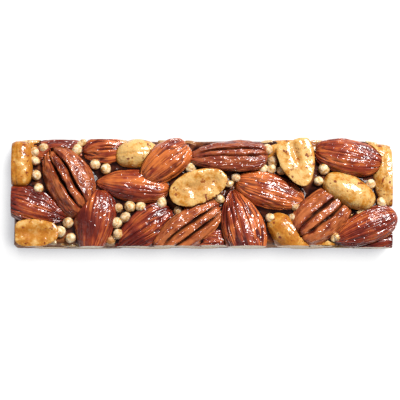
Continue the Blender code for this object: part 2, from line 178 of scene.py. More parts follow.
class Recipe:
    """A material in the making. Each method adds one step and returns its output."""

    def __init__(self, name: str) -> None:
        """Starts a material with an empty Principled shader.

        Args:
            name: The material's name.
        """
        self.material = bpy.data.materials.new(name)
        self.material.use_nodes = True
        self.tree = self.material.node_tree
        self.shader = self.tree.nodes["Principled BSDF"]

    def add(self, kind: str, inputs: dict[str | int, object], **settings: object) -> bpy.types.Node:
        """Adds a node.

        Args:
            kind: Blender's name for the node.
            inputs: What each input reads or holds.
            settings: The node's own settings.

        Returns:
            The node.
        """
        node = self.tree.nodes.new(kind)
        for name, value in settings.items():
            setattr(node, name, value)
        for name, value in inputs.items():
            self.feed(node.inputs[name], value)
        return node

    def feed(self, socket: Socket, value: object) -> None:
        """Links an output to a socket, or sets the socket to a value.

        Args:
            socket: The input.
            value: An output, a number, a vector or a colour.
        """
        if isinstance(value, Socket):
            self.tree.links.new(value, socket)
        else:
            socket.default_value = value

    def place(self, seed: int, stretch: Triple = (1, 1, 1)) -> Socket:
        """Gives the surface's place in the frame of its nut or of the bar, in millimetres.

        Args:
            seed: Moves the patterns that read the place.
            stretch: Scale along each axis.

        Returns:
            A vector output.
        """
        return self.shifted(self.attribute("own", "Vector"), stretch, seed)

    def shifted(self, vector: Socket, scale: Triple, seed: int) -> Socket:
        """Scales a vector and moves it by a seed.

        Args:
            vector: The vector.
            scale: Scale along each axis.
            seed: Moves the vector far enough that no two seeds share a pattern.

        Returns:
            A vector output.
        """
        offset = tuple(seed * step for step in SEED_STEP)
        inputs = {0: vector, 1: scale, 2: offset}
        return self.add("ShaderNodeVectorMath", inputs, operation="MULTIPLY_ADD").outputs[0]

    def attribute(self, name: str, output: str = "Fac") -> Socket:
        """Reads what the mesh holds under a name."""
        return self.add("ShaderNodeAttribute", {}, attribute_name=name).outputs[output]

    def noise(self, vector: Socket, scale: float, detail: float = 2.0, roughness: float = 0.5) -> Socket:
        """Reads noise at a vector.

        Args:
            vector: Where to read it.
            scale: Waves per unit.
            detail: Number of finer layers.
            roughness: Strength of the finer layers.

        Returns:
            A number output, about 0.3 to 0.7.
        """
        inputs = {"Vector": vector, "Scale": scale, "Detail": detail, "Roughness": roughness}
        return self.add("ShaderNodeTexNoise", inputs).outputs["Fac"]

    def spread(self, value: Socket, low: float, high: float) -> Socket:
        """Spreads the values between two limits over 0 to 1.

        Args:
            value: The number.
            low: What becomes 0.
            high: What becomes 1.

        Returns:
            A number output from 0 to 1.
        """
        inputs = {"Value": value, "From Min": low, "From Max": high}
        return self.add("ShaderNodeMapRange", inputs, interpolation_type="SMOOTHSTEP").outputs["Result"]

    def math(self, operation: str, first: object, second: object = 0.0, third: object = 0.0) -> Socket:
        """Works out one sum.

        Args:
            operation: Blender's name for it, such as MULTIPLY.
            first: A number or an output.
            second: A number or an output.
            third: A number or an output, where the sum has three.

        Returns:
            A number output.
        """
        return self.add("ShaderNodeMath", {0: first, 1: second, 2: third}, operation=operation).outputs[0]

    def ramp(self, value: Socket, stops: dict[float, Colour]) -> Socket:
        """Turns a number into a colour.

        Args:
            value: The number.
            stops: The colour at each number, in rising order.

        Returns:
            A colour output.
        """
        node = self.add("ShaderNodeValToRGB", {"Fac": value})
        elements = node.color_ramp.elements
        while len(elements) < len(stops):
            elements.new(0.5)
        for element, (position, shade) in zip(elements, stops.items()):
            element.position = position
            element.color = shade
        return node.outputs["Color"]

    def mix(self, share: object, first: object, second: object) -> Socket:
        """Mixes two colours.

        Args:
            share: How much of the second shows, a number or an output.
            first: A colour or an output.
            second: A colour or an output.

        Returns:
            A colour output.
        """
        inputs = {MIX_SHARE: share, MIX_FIRST: first, MIX_SECOND: second}
        return self.add("ShaderNodeMix", inputs, data_type="RGBA").outputs[MIX_RESULT]

    def bump(self, height: Socket, depth: float, under: Socket | None = None) -> Socket:
        """Turns a height into a normal.

        Args:
            height: The height, 0 to 1.
            depth: What a height of 1 stands for.
            under: A normal that this one lies on.

        Returns:
            A vector output.
        """
        inputs = {"Height": height, "Distance": depth * MM, "Strength": 1.0}
        if under:
            inputs["Normal"] = under
        return self.add("ShaderNodeBump", inputs).outputs["Normal"]

    def dress(self, **inputs: object) -> None:
        """Sets the shader's inputs, each named in lower case with underscores."""
        for name, value in inputs.items():
            self.feed(self.shader.inputs[name.replace("_", " ").title().replace("Ior", "IOR")], value)


@dataclass(frozen=True)
class Glaze:
    """The clear hard film of syrup over a nut, wrinkled as it set.

    Wrinkle is the number of wrinkles to a millimetre, depth is their depth, and length stretches them
    along the nut where it is less than 1.
    """

    seed: int
    weight: float = 1.0
    roughness: float = 0.08
    wrinkle: float = 0.95
    depth: float = 0.46
    length: float = 0.8
    ior: float = 1.5
    seed_shift: int = 40

    def cover(self, recipe: Recipe, under: Socket | None = None, bare: Socket | None = None) -> None:
        """Lays the film over a material.

        Args:
            recipe: The material.
            under: The normal of what lies below the film.
            bare: How far the film is missing, 0 to 1.
        """
        place = recipe.place(self.seed + self.seed_shift, (self.length, 1, 1))
        wrinkles = recipe.noise(place, self.wrinkle, detail=1.0, roughness=0.5)
        weight = recipe.math("MULTIPLY_ADD", bare, -self.weight, self.weight) if bare else self.weight
        recipe.dress(
            coat_weight=weight,
            coat_roughness=self.roughness,
            coat_ior=self.ior,
            coat_normal=recipe.bump(wrinkles, self.depth, under=under),
        )


@dataclass(frozen=True)
class AlmondSkin:
    """Brown almond skin, streaked from end to end, under a glaze.

    The tone makes it lighter above 0 and darker below, and lines is how dark its grooves are, 0 to 1,
    partly by the skin's own colour and partly by painted shade.
    """

    seed: int
    tone: float
    lines: float
    dark: Colour = colour(78, 15, 10)
    brown: Colour = colour(134, 48, 24)
    tan: Colour = colour(200, 108, 48)
    streak_scale: Triple = (2.3, 2.3, 0.5)
    patch_scale: float = 0.18
    patch_share: float = 0.6
    tone_share: float = 0.25
    shade_reach: Pair = (0.56, 1.06)
    groove_reach: Pair = (0.30, 0.95)
    fine_scale: Triple = (1.4, 1.4, 0.9)
    fine_depth: float = 0.35

    def material(self) -> bpy.types.Material:
        """Makes the material.

        Returns:
            The material.
        """
        recipe = Recipe(f"almond_skin_{self.seed:02d}")
        flow = recipe.attribute("flow", "Vector")
        streak_place = recipe.shifted(flow, self.streak_scale, self.seed)
        streaks = recipe.noise(streak_place, 1.0, detail=5.0, roughness=0.75)
        patches = recipe.noise(recipe.place(self.seed), self.patch_scale)
        value = recipe.math("ADD", streaks, recipe.math("MULTIPLY", patches, self.patch_share))
        value = recipe.math("ADD", value, self.tone * self.tone_share)
        stops = {0.0: self.dark, 0.50: self.brown, 1.0: self.tan}
        shade = recipe.ramp(recipe.spread(value, *self.shade_reach), stops)
        # Grooves darken the skin: partly its own colour, partly painted shade
        grooves = recipe.spread(recipe.attribute("hollow"), *self.groove_reach)
        shade = recipe.mix(recipe.math("MULTIPLY", grooves, self.lines), shade, self.dark)
        fine = recipe.noise(recipe.shifted(flow, self.fine_scale, self.seed), 1.0, detail=1.0)
        skin = recipe.bump(fine, self.fine_depth)
        recipe.dress(base_color=shade, roughness=0.40, specular_ior_level=0.2, normal=skin)
        Glaze(self.seed).cover(recipe, under=skin)
        return recipe.material


@dataclass(frozen=True)
class PeanutSkin:
    """A blanched peanut: golden, paler on its crown by painted light and amber in its seam and dish by
    painted shade, with specks of the brown skin it has lost.

    The tone makes it paler above 0 and darker below.
    """

    seed: int
    tone: float
    name: str = "peanut_skin"
    amber: Colour = colour(164, 96, 22)
    gold: Colour = colour(184, 122, 40)
    cream: Colour = colour(208, 166, 100)
    speck: Colour = colour(112, 32, 14)
    patch_scale: float = 0.36
    # Painted light: how much paler the skin is where it faces up
    crown_painted_light: float = 0.18
    tone_share: float = 0.16
    shade_reach: Pair = (0.46, 0.82)
    speck_scale: float = 0.70
    speck_reach: Pair = (0.61, 0.65)
    speck_share: float = 0.90
    # Painted shade: how far the seam and the dish turn amber
    hollow_painted_shade: float = 0.55
    pit_scale: float = 1.2
    pit_depth: float = 0.15

    def material(self) -> bpy.types.Material:
        """Makes the material.

        Returns:
            The material.
        """
        recipe = Recipe(f"{self.name}_{self.seed:02d}")
        place = recipe.place(self.seed)
        patches = recipe.noise(place, self.patch_scale, detail=5.0, roughness=0.65)
        # Paler where the skin faces up: painted light
        crown = recipe.attribute("crown")
        value = recipe.math("ADD", patches, recipe.math("MULTIPLY", crown, self.crown_painted_light))
        value = recipe.math("ADD", value, self.tone * self.tone_share)
        stops = {0.0: self.amber, 0.50: self.gold, 1.0: self.cream}
        shade = recipe.ramp(recipe.spread(value, *self.shade_reach), stops)
        specks = recipe.noise(place, self.speck_scale, detail=3.0, roughness=0.6)
        specks = recipe.spread(specks, *self.speck_reach)
        shade = recipe.mix(recipe.math("MULTIPLY", specks, self.speck_share), shade, self.speck)
        # Turns the seam and the split halves' dish amber: painted shade
        hollow = recipe.attribute("hollow")
        shade = recipe.mix(recipe.math("MULTIPLY", hollow, self.hollow_painted_shade), shade, self.amber)
        pits = recipe.noise(place, self.pit_scale, detail=1.0)
        recipe.dress(
            base_color=shade,
            roughness=0.5,
            specular_ior_level=0.15,
            normal=recipe.bump(pits, self.pit_depth),
            subsurface_weight=0.12,
            subsurface_radius=(1.0, 0.5, 0.2),
            subsurface_scale=1.5 * MM,
        )
        glaze = Glaze(self.seed, weight=0.7, roughness=0.14, wrinkle=0.6, depth=0.30, length=0.9)
        glaze.cover(recipe)
        return recipe.material


@dataclass(frozen=True)
class PecanSkin:
    """Ribbed pecan skin, darkest at the bottom of its furrows, partly its own colour and partly painted
    shade, under a glaze that leaves them bare so that they show no reflection.

    The tone makes it lighter above 0 and darker below, and reddened is how far it turns red, 0 to 1.
    """

    seed: int
    tone: float
    reddened: float
    red: Colour = colour(104, 24, 22)
    # Near black at the bottom of the furrows: partly the skin's own colour, partly painted shade
    furrow: Colour = colour(28, 9, 7)
    dark: Colour = colour(78, 24, 14)
    brown: Colour = colour(128, 54, 27)
    tan: Colour = colour(176, 96, 50)
    rib_scale: Triple = (1.2, 1.2, 1.6)
    patch_scale: float = 0.35
    patch_share: float = 0.6
    tone_share: float = 0.3
    shade_reach: Pair = (0.50, 1.05)
    furrow_reach: Pair = (0.35, 0.90)
    furrow_painted_shade: float = 0.92
    fine_scale: Triple = (1.2, 1.2, 1.5)
    fine_depth: float = 0.40

    def material(self) -> bpy.types.Material:
        """Makes the material.

        Returns:
            The material.
        """
        recipe = Recipe(f"pecan_skin_{self.seed:02d}")
        flow = recipe.attribute("flow", "Vector")
        rib_place = recipe.shifted(flow, self.rib_scale, self.seed)
        ribs = recipe.noise(rib_place, 1.4, detail=4.0, roughness=0.6)
        patches = recipe.noise(recipe.place(self.seed), self.patch_scale)
        value = recipe.math("ADD", ribs, recipe.math("MULTIPLY", patches, self.patch_share))
        value = recipe.math("ADD", value, self.tone * self.tone_share)
        stops = {0.0: self.dark, 0.45: self.brown, 0.95: self.tan}
        shade = recipe.ramp(recipe.spread(value, *self.shade_reach), stops)
        shade = recipe.mix(self.reddened, shade, self.red)
        # Darkens the furrows and creases: partly the skin's own colour, partly painted shade
        depth = recipe.spread(recipe.attribute("hollow"), *self.furrow_reach)
        shade = recipe.mix(recipe.math("MULTIPLY", depth, self.furrow_painted_shade), shade, self.furrow)
        fine = recipe.noise(recipe.shifted(flow, self.fine_scale, self.seed), 1.0, detail=1.0)
        skin = recipe.bump(fine, self.fine_depth)
        recipe.dress(base_color=shade, roughness=0.40, specular_ior_level=0.2, normal=skin)
        Glaze(self.seed, wrinkle=1.0, depth=0.60).cover(recipe, under=skin, bare=depth)
        return recipe.material


@dataclass(frozen=True)
class CutFlesh:
    """The pale inside of a nut where the knife went through it."""

    name: str
    pale: Colour
    shadow: Colour
    seed: int = 3
    patch_scale: float = 0.7
    patch_reach: Pair = (0.32, 0.68)
    grain_scale: float = 2.6
    grain_depth: float = 0.12

    def material(self) -> bpy.types.Material:
        """Makes the material.

        Returns:
            The material.
        """
        recipe = Recipe(f"cut_{self.name}_flesh")
        place = recipe.place(self.seed)
        patches = recipe.noise(place, self.patch_scale, detail=4.0, roughness=0.65)
        shade = recipe.ramp(recipe.spread(patches, *self.patch_reach), {0.0: self.shadow, 0.6: self.pale})
        grain = recipe.noise(place, self.grain_scale, detail=3.0)
        recipe.dress(
            base_color=shade,
            roughness=0.5,
            normal=recipe.bump(grain, self.grain_depth),
            coat_weight=0.35,
            coat_roughness=0.2,
        )
        return recipe.material


@dataclass(frozen=True)
class DarkSyrup:
    """Hard syrup: nearly black between the nuts, which is painted shade, brown to amber where it lies open.

    Where the knife went through it, it is dull and shows small cut bits of nut.
    """

    seed: int = 7
    # The darkest syrup, which the painted shade near the nuts reaches
    deep: Colour = colour(26, 10, 10)
    brown: Colour = colour(76, 36, 24)
    amber: Colour = colour(132, 78, 40)
    bit: Colour = colour(184, 140, 88)
    patch_scale: float = 0.28
    shade_reach: Pair = (0.20, 0.78)
    bit_scale: float = 0.42
    bit_reach: Pair = (0.56, 0.60)
    speck_scale: float = 0.95
    speck_reach: Pair = (0.58, 0.62)
    cut_reach: Pair = (0.35, 0.95)
    bit_share: float = 0.6
    ripple_scale: float = 0.5
    ripple_depth: float = 0.4
    wet_roughness: float = 0.14
    cut_roughness: float = 0.60

    def material(self) -> bpy.types.Material:
        """Makes the material.

        Returns:
            The material.
        """
        recipe = Recipe("dark_syrup")
        place = recipe.place(self.seed)
        patches = recipe.noise(place, self.patch_scale, detail=3.0, roughness=0.6)
        # thin is lighter near the bar's edges and darker near the nuts, where it is painted shade
        value = recipe.math("ADD", recipe.attribute("thin"), patches)
        stops = {0.0: self.deep, 0.55: self.brown, 1.0: self.amber}
        shade = recipe.ramp(recipe.spread(value, *self.shade_reach), stops)
        cut = recipe.attribute("cut")
        bits = recipe.spread(recipe.noise(place, self.bit_scale, roughness=0.6), *self.bit_reach)
        specks = recipe.spread(recipe.noise(place, self.speck_scale, roughness=0.6), *self.speck_reach)
        opened = recipe.spread(cut, *self.cut_reach)
        bits = recipe.math("MULTIPLY", recipe.math("MAXIMUM", bits, specks), opened)
        shade = recipe.mix(recipe.math("MULTIPLY", bits, self.bit_share), shade, self.bit)
        ripples = recipe.noise(place, self.ripple_scale, detail=1.0, roughness=0.4)
        recipe.dress(
            base_color=shade,
            roughness=recipe.mix(cut, grey(self.wet_roughness), grey(self.cut_roughness)),
            specular_ior_level=0.14,
            normal=recipe.bump(ripples, self.ripple_depth),
        )
        return recipe.material


@dataclass(frozen=True)
class GrainHusk:
    """The dry pale outside of a puffed grain, tan in its ring and amber where it stands in the syrup and,
    as painted shade, round its sides.
    """

    seed: int = 5
    pale: Colour = colour(226, 204, 166)
    tan: Colour = colour(194, 146, 80)
    amber: Colour = colour(150, 92, 38)
    patch_scale: float = 0.9
    patch_reach: Pair = (0.34, 0.62)
    ring_share: float = 0.7
    crown_reach: Pair = (-0.20, 0.70)
    # How amber a grain is low down: syrup below, painted shade round its sides
    sunk_and_shade_share: float = 0.85
    grit_scale: float = 1.4
    grit_depth: float = 0.18

    def material(self) -> bpy.types.Material:
        """Makes the material.

        Returns:
            The material.
        """
        recipe = Recipe("grain_husk")
        place = recipe.place(self.seed)
        patches = recipe.noise(place, self.patch_scale, detail=3.0)
        shade = recipe.ramp(recipe.spread(patches, *self.patch_reach), {0.0: self.tan, 0.7: self.pale})
        ring = recipe.math("MULTIPLY", recipe.attribute("hollow"), self.ring_share)
        shade = recipe.mix(ring, shade, self.tan)
        # Amber low on each grain: syrup where it stands in it, painted shade round its sides
        crown = recipe.spread(recipe.attribute("crown"), *self.crown_reach)
        sunk = recipe.math("MULTIPLY", recipe.math("SUBTRACT", 1.0, crown), self.sunk_and_shade_share)
        shade = recipe.mix(recipe.math("MAXIMUM", sunk, recipe.attribute("stained")), shade, self.amber)
        grit = recipe.noise(place, self.grit_scale, detail=1.0)
        recipe.dress(
            base_color=shade,
            roughness=0.50,
            specular_ior_level=0.3,
            normal=recipe.bump(grit, self.grit_depth),
            subsurface_weight=0.30,
            subsurface_radius=(1.0, 0.6, 0.3),
            subsurface_scale=1.4 * MM,
            coat_weight=0.15,
            coat_roughness=0.20,
        )
        return recipe.material


@dataclass(frozen=True)
class CrumbFlesh:
    """A broken bit of nut: cream, and amber where syrup has soaked in."""

    seed: int = 9
    pale: Colour = colour(212, 184, 136)
    tan: Colour = colour(182, 132, 72)
    amber: Colour = colour(134, 76, 30)
    patch_scale: float = 0.8
    patch_reach: Pair = (0.36, 0.60)
    grit_scale: float = 1.6
    grit_depth: float = 0.25

    def material(self) -> bpy.types.Material:
        """Makes the material.

        Returns:
            The material.
        """
        recipe = Recipe("crumb_flesh")
        place = recipe.place(self.seed)
        patches = recipe.noise(place, self.patch_scale, detail=4.0, roughness=0.6)
        shade = recipe.ramp(recipe.spread(patches, *self.patch_reach), {0.0: self.tan, 0.8: self.pale})
        shade = recipe.mix(recipe.attribute("stained"), shade, self.amber)
        grit = recipe.noise(place, self.grit_scale, detail=1.0)
        recipe.dress(
            base_color=shade,
            roughness=0.45,
            specular_ior_level=0.2,
            normal=recipe.bump(grit, self.grit_depth),
            subsurface_weight=0.12,
            subsurface_radius=(1.0, 0.6, 0.3),
            subsurface_scale=1.2 * MM,
        )
        glaze = Glaze(self.seed, weight=0.7, roughness=0.10, wrinkle=0.9, depth=0.35, length=1.0)
        glaze.cover(recipe)
        return recipe.material


ALMOND_FLESH = CutFlesh("almond", pale=colour(210, 190, 152), shadow=colour(176, 140, 92))
PEANUT_FLESH = CutFlesh("peanut", pale=colour(206, 170, 112), shadow=colour(176, 126, 66))
PECAN_FLESH = CutFlesh("pecan", pale=colour(200, 172, 128), shadow=colour(150, 104, 62))


@dataclass(frozen=True)
class Bar:
    """What the whole bar shares: the knife's cuts, the level of the syrup and how closely nuts touch.

    The back right corner is slanted from corner_start on, and ends corner_in further in.
    """

    length: float = 120.0
    width: float = 33.2
    right_cut: float = 58.5
    syrup_height: float = 10.6
    touch: float = 0.10
    corner_start: float = 50.0
    corner_in: float = 2.0

    def cuts(self, overhang: float, whole: bool) -> tuple[tuple[Vector, Vector], ...]:
        """Lists the knife's cuts.

        Args:
            overhang: How far the nut reaches past the long cuts.
            whole: True for a nut whose end the knife missed on the right.

        Returns:
            For each cut a point on it and the direction that is cut away.
        """
        right = self.length / 2 if whole else self.right_cut
        side = self.width / 2 + overhang
        slant = Vector((self.corner_in, self.right_cut - self.corner_start, 0)).normalized()
        return (
            (Vector((right, 0, 0)), Vector((1, 0, 0))),
            (Vector((-self.length / 2, 0, 0)), Vector((-1, 0, 0))),
            (Vector((0, side, 0)), Vector((0, 1, 0))),
            (Vector((0, -side, 0)), Vector((0, -1, 0))),
            (Vector((self.corner_start, side, 0)), slant),
        )

    def back(self, x: np.ndarray) -> np.ndarray:
        """Gives where the bar ends at the back, which is slanted near the right end.

        Args:
            x: Places along the bar.

        Returns:
            One place across the bar for each.
        """
        slanted = np.maximum(x - self.corner_start, 0) / (self.right_cut - self.corner_start)
        return self.width / 2 - self.corner_in * slanted


BAR = Bar()


def make_object(
    name: str,
    points: np.ndarray,
    faces: Sequence[Sequence[int]],
    materials: Sequence[bpy.types.Material],
    held: dict[str, np.ndarray] | None = None,
) -> bpy.types.Object:
    """Makes a smooth mesh object in the bar's frame.

    Args:
        name: The piece's name.
        points: Points in the bar's frame, one per row.
        faces: The points of each face.
        materials: The mesh's materials, the first on every face.
        held: What the mesh holds for its material, a number or a vector for each point. The one named own
            is the place that patterns read, and is the point itself where it isn't given.

    Returns:
        The object, in the scene.
    """
    mesh = bpy.data.meshes.new(name)
    mesh.from_pydata((points * MM).tolist(), [], faces)
    mesh.shade_smooth()
    for attribute, values in ({"own": points} | (held or {})).items():
        kind, key = ("FLOAT", "value") if values.ndim == 1 else ("FLOAT_VECTOR", "vector")
        made = mesh.attributes.new(attribute, kind, "POINT")
        made.data.foreach_set(key, values.astype(np.float32).ravel())
    for material in materials:
        mesh.materials.append(material)
    piece = bpy.data.objects.new(name, mesh)
    bpy.context.scene.collection.objects.link(piece)
    return piece


def point_normals(points: np.ndarray, faces: Sequence[Sequence[int]]) -> np.ndarray:
    """Works out the outward direction at each point of a closed surface.

    Args:
        points: Points, one per row.
        faces: The points of each face.

    Returns:
        One unit vector per point.
    """
    mesh = bpy.data.meshes.new("normals")
    mesh.from_pydata(points.tolist(), [], faces)
    normals = np.empty(len(points) * 3, np.float32)
    mesh.vertex_normals.foreach_get("vector", normals)
    bpy.data.meshes.remove(mesh)
    return normals.reshape(-1, 3).astype(float)


@dataclass(frozen=True)
class RingGrid:
    """Rings of points along a closed form, with a single point at each end."""

    stations: int
    columns: int

    def along(self) -> np.ndarray:
        """Gives the share of the length at each point, closer together towards the ends.

        Returns:
            One share for each point.
        """
        steps = np.arange(1, self.stations) / self.stations
        shares = (1 - np.cos(np.pi * steps)) / 2
        return np.concatenate([np.repeat(shares, self.columns), [0.0, 1.0]])

    def around(self) -> np.ndarray:
        """Gives the angle of each point round the long axis, which is 0 at the two ends.

        Returns:
            One angle for each point, in radians.
        """
        turn = np.arange(self.columns) * 2 * np.pi / self.columns
        return np.concatenate([np.tile(turn, self.stations - 1), [0.0, 0.0]])

    def faces(self) -> list[tuple[int, ...]]:
        """Lists the faces.

        Returns:
            For each face its points, in order round it as seen from outside.
        """
        first_end = (self.stations - 1) * self.columns
        last_ring = first_end - self.columns
        found: list[tuple[int, ...]] = []
        for column in range(self.columns):
            after = (column + 1) % self.columns
            found.append((first_end, after, column))
            found.append((first_end + 1, last_ring + column, last_ring + after))
            for ring in range(0, last_ring, self.columns):
                here, there = ring + column, ring + after
                found.append((here, there, there + self.columns, here + self.columns))
        return found


def repeated_faces(grid: RingGrid, count: int) -> list[tuple[int, ...]]:
    """Lists the faces of several forms of one grid, whose points follow each other.

    Args:
        grid: The grid of each form.
        count: Number of forms.

    Returns:
        The faces, form by form.
    """
    points = len(grid.along())
    faces = grid.faces()
    return [tuple(form * points + point for point in face) for form in range(count) for face in faces]


@dataclass(frozen=True)
class Nut:
    """A nut in the bar.

    Its own frame has its narrow end towards +X and its shown side towards +Z. The heading, pitch and roll
    turn it, in degrees, and top is its highest point above the bar's underside. The two ends are the
    rounder the smaller their powers blunt and point are. The narrow end leans: what lies to the left of
    the middle is shifted along the nut, by its distance times the lean. The tone makes its skin lighter
    above 0 and darker below. The overhang is how far the nut reaches past the bar's long cuts, and whole
    says that the knife missed its right end.

    Thickness, face and underside are shares: of the width, and of the half thickness above and below
    the edge. Face_power makes the upper side flatter below 1. The girth is read no closer to an end
    than end_margin of the length, and far_out is the most that the fullness comes to. Each pattern of a
    nut adds a number of its own to the nut's seed.
    """

    name: str
    x: float
    y: float
    top: float
    length: float
    width: float
    heading: float
    pitch: float = 0.0
    roll: float = 0.0
    tone: float = 0.0
    blunt: float = 0.5
    point: float = 0.5
    lean: float = 0.0
    overhang: float = 0.0
    whole: bool = False

    slot: ClassVar[Slot]
    flesh: ClassVar[CutFlesh]
    thickness: ClassVar[float]
    face: ClassVar[float] = 1.0
    face_power: ClassVar[float] = 1.0
    underside: ClassVar[float] = 1.0
    grid: ClassVar[RingGrid] = RingGrid(64, 96)
    base_grid: ClassVar[RingGrid] = RingGrid(36, 56)
    skin_rim: ClassVar[float] = 0.20
    seed_count: ClassVar[int] = 97
    end_margin: ClassVar[float] = 0.001
    far_out: ClassVar[float] = 9.0
    flow_scale: ClassVar[Triple] = (3.2, 3.2, 2.2)
    dent_steps: ClassVar[int] = 12
    middle_reach: ClassVar[float] = 2.0
    middle_power: ClassVar[int] = 4
    cut_slack: ClassVar[float] = 0.0001
    sharp_angle: ClassVar[float] = 52.0

    @property
    def seed(self) -> int:
        """Number that makes this nut's patterns its own."""
        return sum(ord(letter) * place for place, letter in enumerate(self.name, 1)) % self.seed_count

    @property
    def half_width(self) -> float:
        """Half of the largest width."""
        return self.width / 2

    @property
    def half_thickness(self) -> float:
        """Half of the thickness of a nut that is as thick above as below its edge."""
        return self.half_width * self.thickness

    @property
    def centre(self) -> np.ndarray:
        """The origin of the nut's own frame, in the bar's frame."""
        return np.array([self.x, self.y, self.top - self.half_thickness * self.face])

    @property
    def turn(self) -> Euler:
        """The nut's rotation."""
        return Euler([math.radians(angle) for angle in (self.roll, self.pitch, self.heading)])

    def to_bar(self, points: np.ndarray) -> np.ndarray:
        """Moves points from the nut's frame to the bar's."""
        return points @ np.array(self.turn.to_matrix()).T + self.centre

    def to_nut(self, points: np.ndarray) -> np.ndarray:
        """Moves points from the bar's frame to the nut's."""
        return (points - self.centre) @ np.array(self.turn.to_matrix())

    def girth(self, along: np.ndarray) -> np.ndarray:
        """Gives the size of the nut's cross-section as a share of its largest.

        Args:
            along: Share of the length from the blunt end.

        Returns:
            One share for each place.
        """
        peak = self.blunt / (self.blunt + self.point)
        return (along / peak) ** self.blunt * ((1 - along) / (1 - peak)) ** self.point

    def fullness(self, points: np.ndarray, grow: float = 0.0) -> np.ndarray:
        """Tells how far out points lie, measured by the nut's plain form.

        Args:
            points: Points in the bar's frame.
            grow: Thickness added to the nut all round.

        Returns:
            For each point a number that is 1 on the surface and less inside.
        """
        local = self.to_nut(points)
        shift = self.lean * local[:, 1]
        middle = (local[:, 0] - shift / 2) / (1 + shift / self.length)
        along = middle / (self.length + 2 * grow) + 0.5
        first, last = self.end_margin, 1 - self.end_margin
        beyond = (along <= first) | (along >= last)
        girth = self.girth(np.clip(along, first, last))
        across = np.abs(local[:, 1]) / (girth * (self.half_width + grow))
        side = np.where(local[:, 2] > 0, self.face, self.underside)
        up = np.abs(local[:, 2]) / (girth * (self.half_thickness * side + grow))
        power = np.where(local[:, 2] > 0, 2 / self.face_power, 2.0)
        return np.where(beyond, self.far_out, np.minimum(across**2 + up**power, self.far_out))

    def section(self, along: np.ndarray, around: np.ndarray) -> tuple[np.ndarray, np.ndarray]:
        """Gives the shape of the cross-section, before the girth is applied.

        Args:
            along: Share of the length at each point; not used here.
            around: Angle of each point, in radians.

        Returns:
            Height at each point as a share of the half thickness, and how deep in a furrow it is, 0 to 1.
        """
        up = np.sin(around)
        return np.where(up > 0, up * self.face, up * self.underside), np.zeros_like(up)

    def drawn_in(self, along: np.ndarray, around: np.ndarray) -> np.ndarray:
        """Gives how far each point is drawn in towards the middle, as a share of its distance from it."""
        return np.zeros_like(along)

    def relief(self, points: np.ndarray, flow: np.ndarray) -> tuple[np.ndarray, np.ndarray]:
        """Gives the surface's fine relief.

        Args:
            points: The smooth surface's points in the nut's frame.
            flow: For each point a vector that changes quickly round the nut and slowly along it.

        Returns:
            How far each point moves outwards, and how deep in a groove it is, 0 to 1.
        """
        raise NotImplementedError

    def skin(self) -> AlmondSkin | PeanutSkin | PecanSkin:
        """The finish of the nut's outside."""
        raise NotImplementedError

    def shell(self, grid: RingGrid) -> tuple[np.ndarray, list[tuple[int, ...]], dict[str, np.ndarray]]:
        """Makes the nut's whole surface in its own frame.

        Args:
            grid: How finely it is divided.

        Returns:
            The points, the faces and what the mesh holds for its material.
        """
        along, around = grid.along(), grid.around()
        girth = self.girth(along)
        girth[-2:] = 0.0
        height, furrow = self.section(along, around)
        across = np.cos(around) * girth * self.half_width
        lengthwise = (along - 0.5) * self.length * (1 - self.drawn_in(along, around))
        lengthwise += self.lean * across * along
        points = np.stack([lengthwise, across, height * girth * self.half_thickness], axis=1)
        faces = grid.faces()
        normals = point_normals(points, faces)
        flow = np.stack([np.cos(around), np.sin(around), along], axis=1) * self.flow_scale
        flow[-2:, :2] = 0.0
        outwards, groove = self.relief(points, flow)
        points = points + normals * outwards[:, None]
        held = {"flow": flow, "hollow": np.maximum(furrow, groove), "crown": normals[:, 2]}
        return points, faces, held

    def dented(self, places: np.ndarray, above: Sequence[Nut]) -> np.ndarray:
        """Presses the surface in wherever a nut above it would cross it.

        Args:
            places: Points in the bar's frame.
            above: The nuts that lie on this one.

        Returns:
            The points, moved towards the middle of what is left of the nut.
        """
        near = []
        for nut in above:
            if np.linalg.norm(nut.centre - self.centre) < (nut.length + self.length) / 2:
                near.append(nut)
        if not near:
            return places
        clear = np.min([nut.fullness(places, BAR.touch) - 1 for nut in near], axis=0)
        weight = np.clip(clear, 0.0, self.middle_reach) ** self.middle_power
        middle = np.average(places, axis=0, weights=weight) if weight.any() else self.centre
        for nut in near:
            inside = nut.fullness(places, BAR.touch) < 1
            if not inside.any() or nut.fullness(middle[None], BAR.touch)[0] < 1:
                continue
            rays = places[inside] - middle
            low, high = np.zeros(len(rays)), np.ones(len(rays))
            for _ in range(self.dent_steps):
                half = (low + high) / 2
                hit = nut.fullness(middle + rays * half[:, None], BAR.touch) < 1
                low, high = np.where(hit, low, half), np.where(hit, half, high)
            places[inside] = middle + rays * low[:, None]
        return places

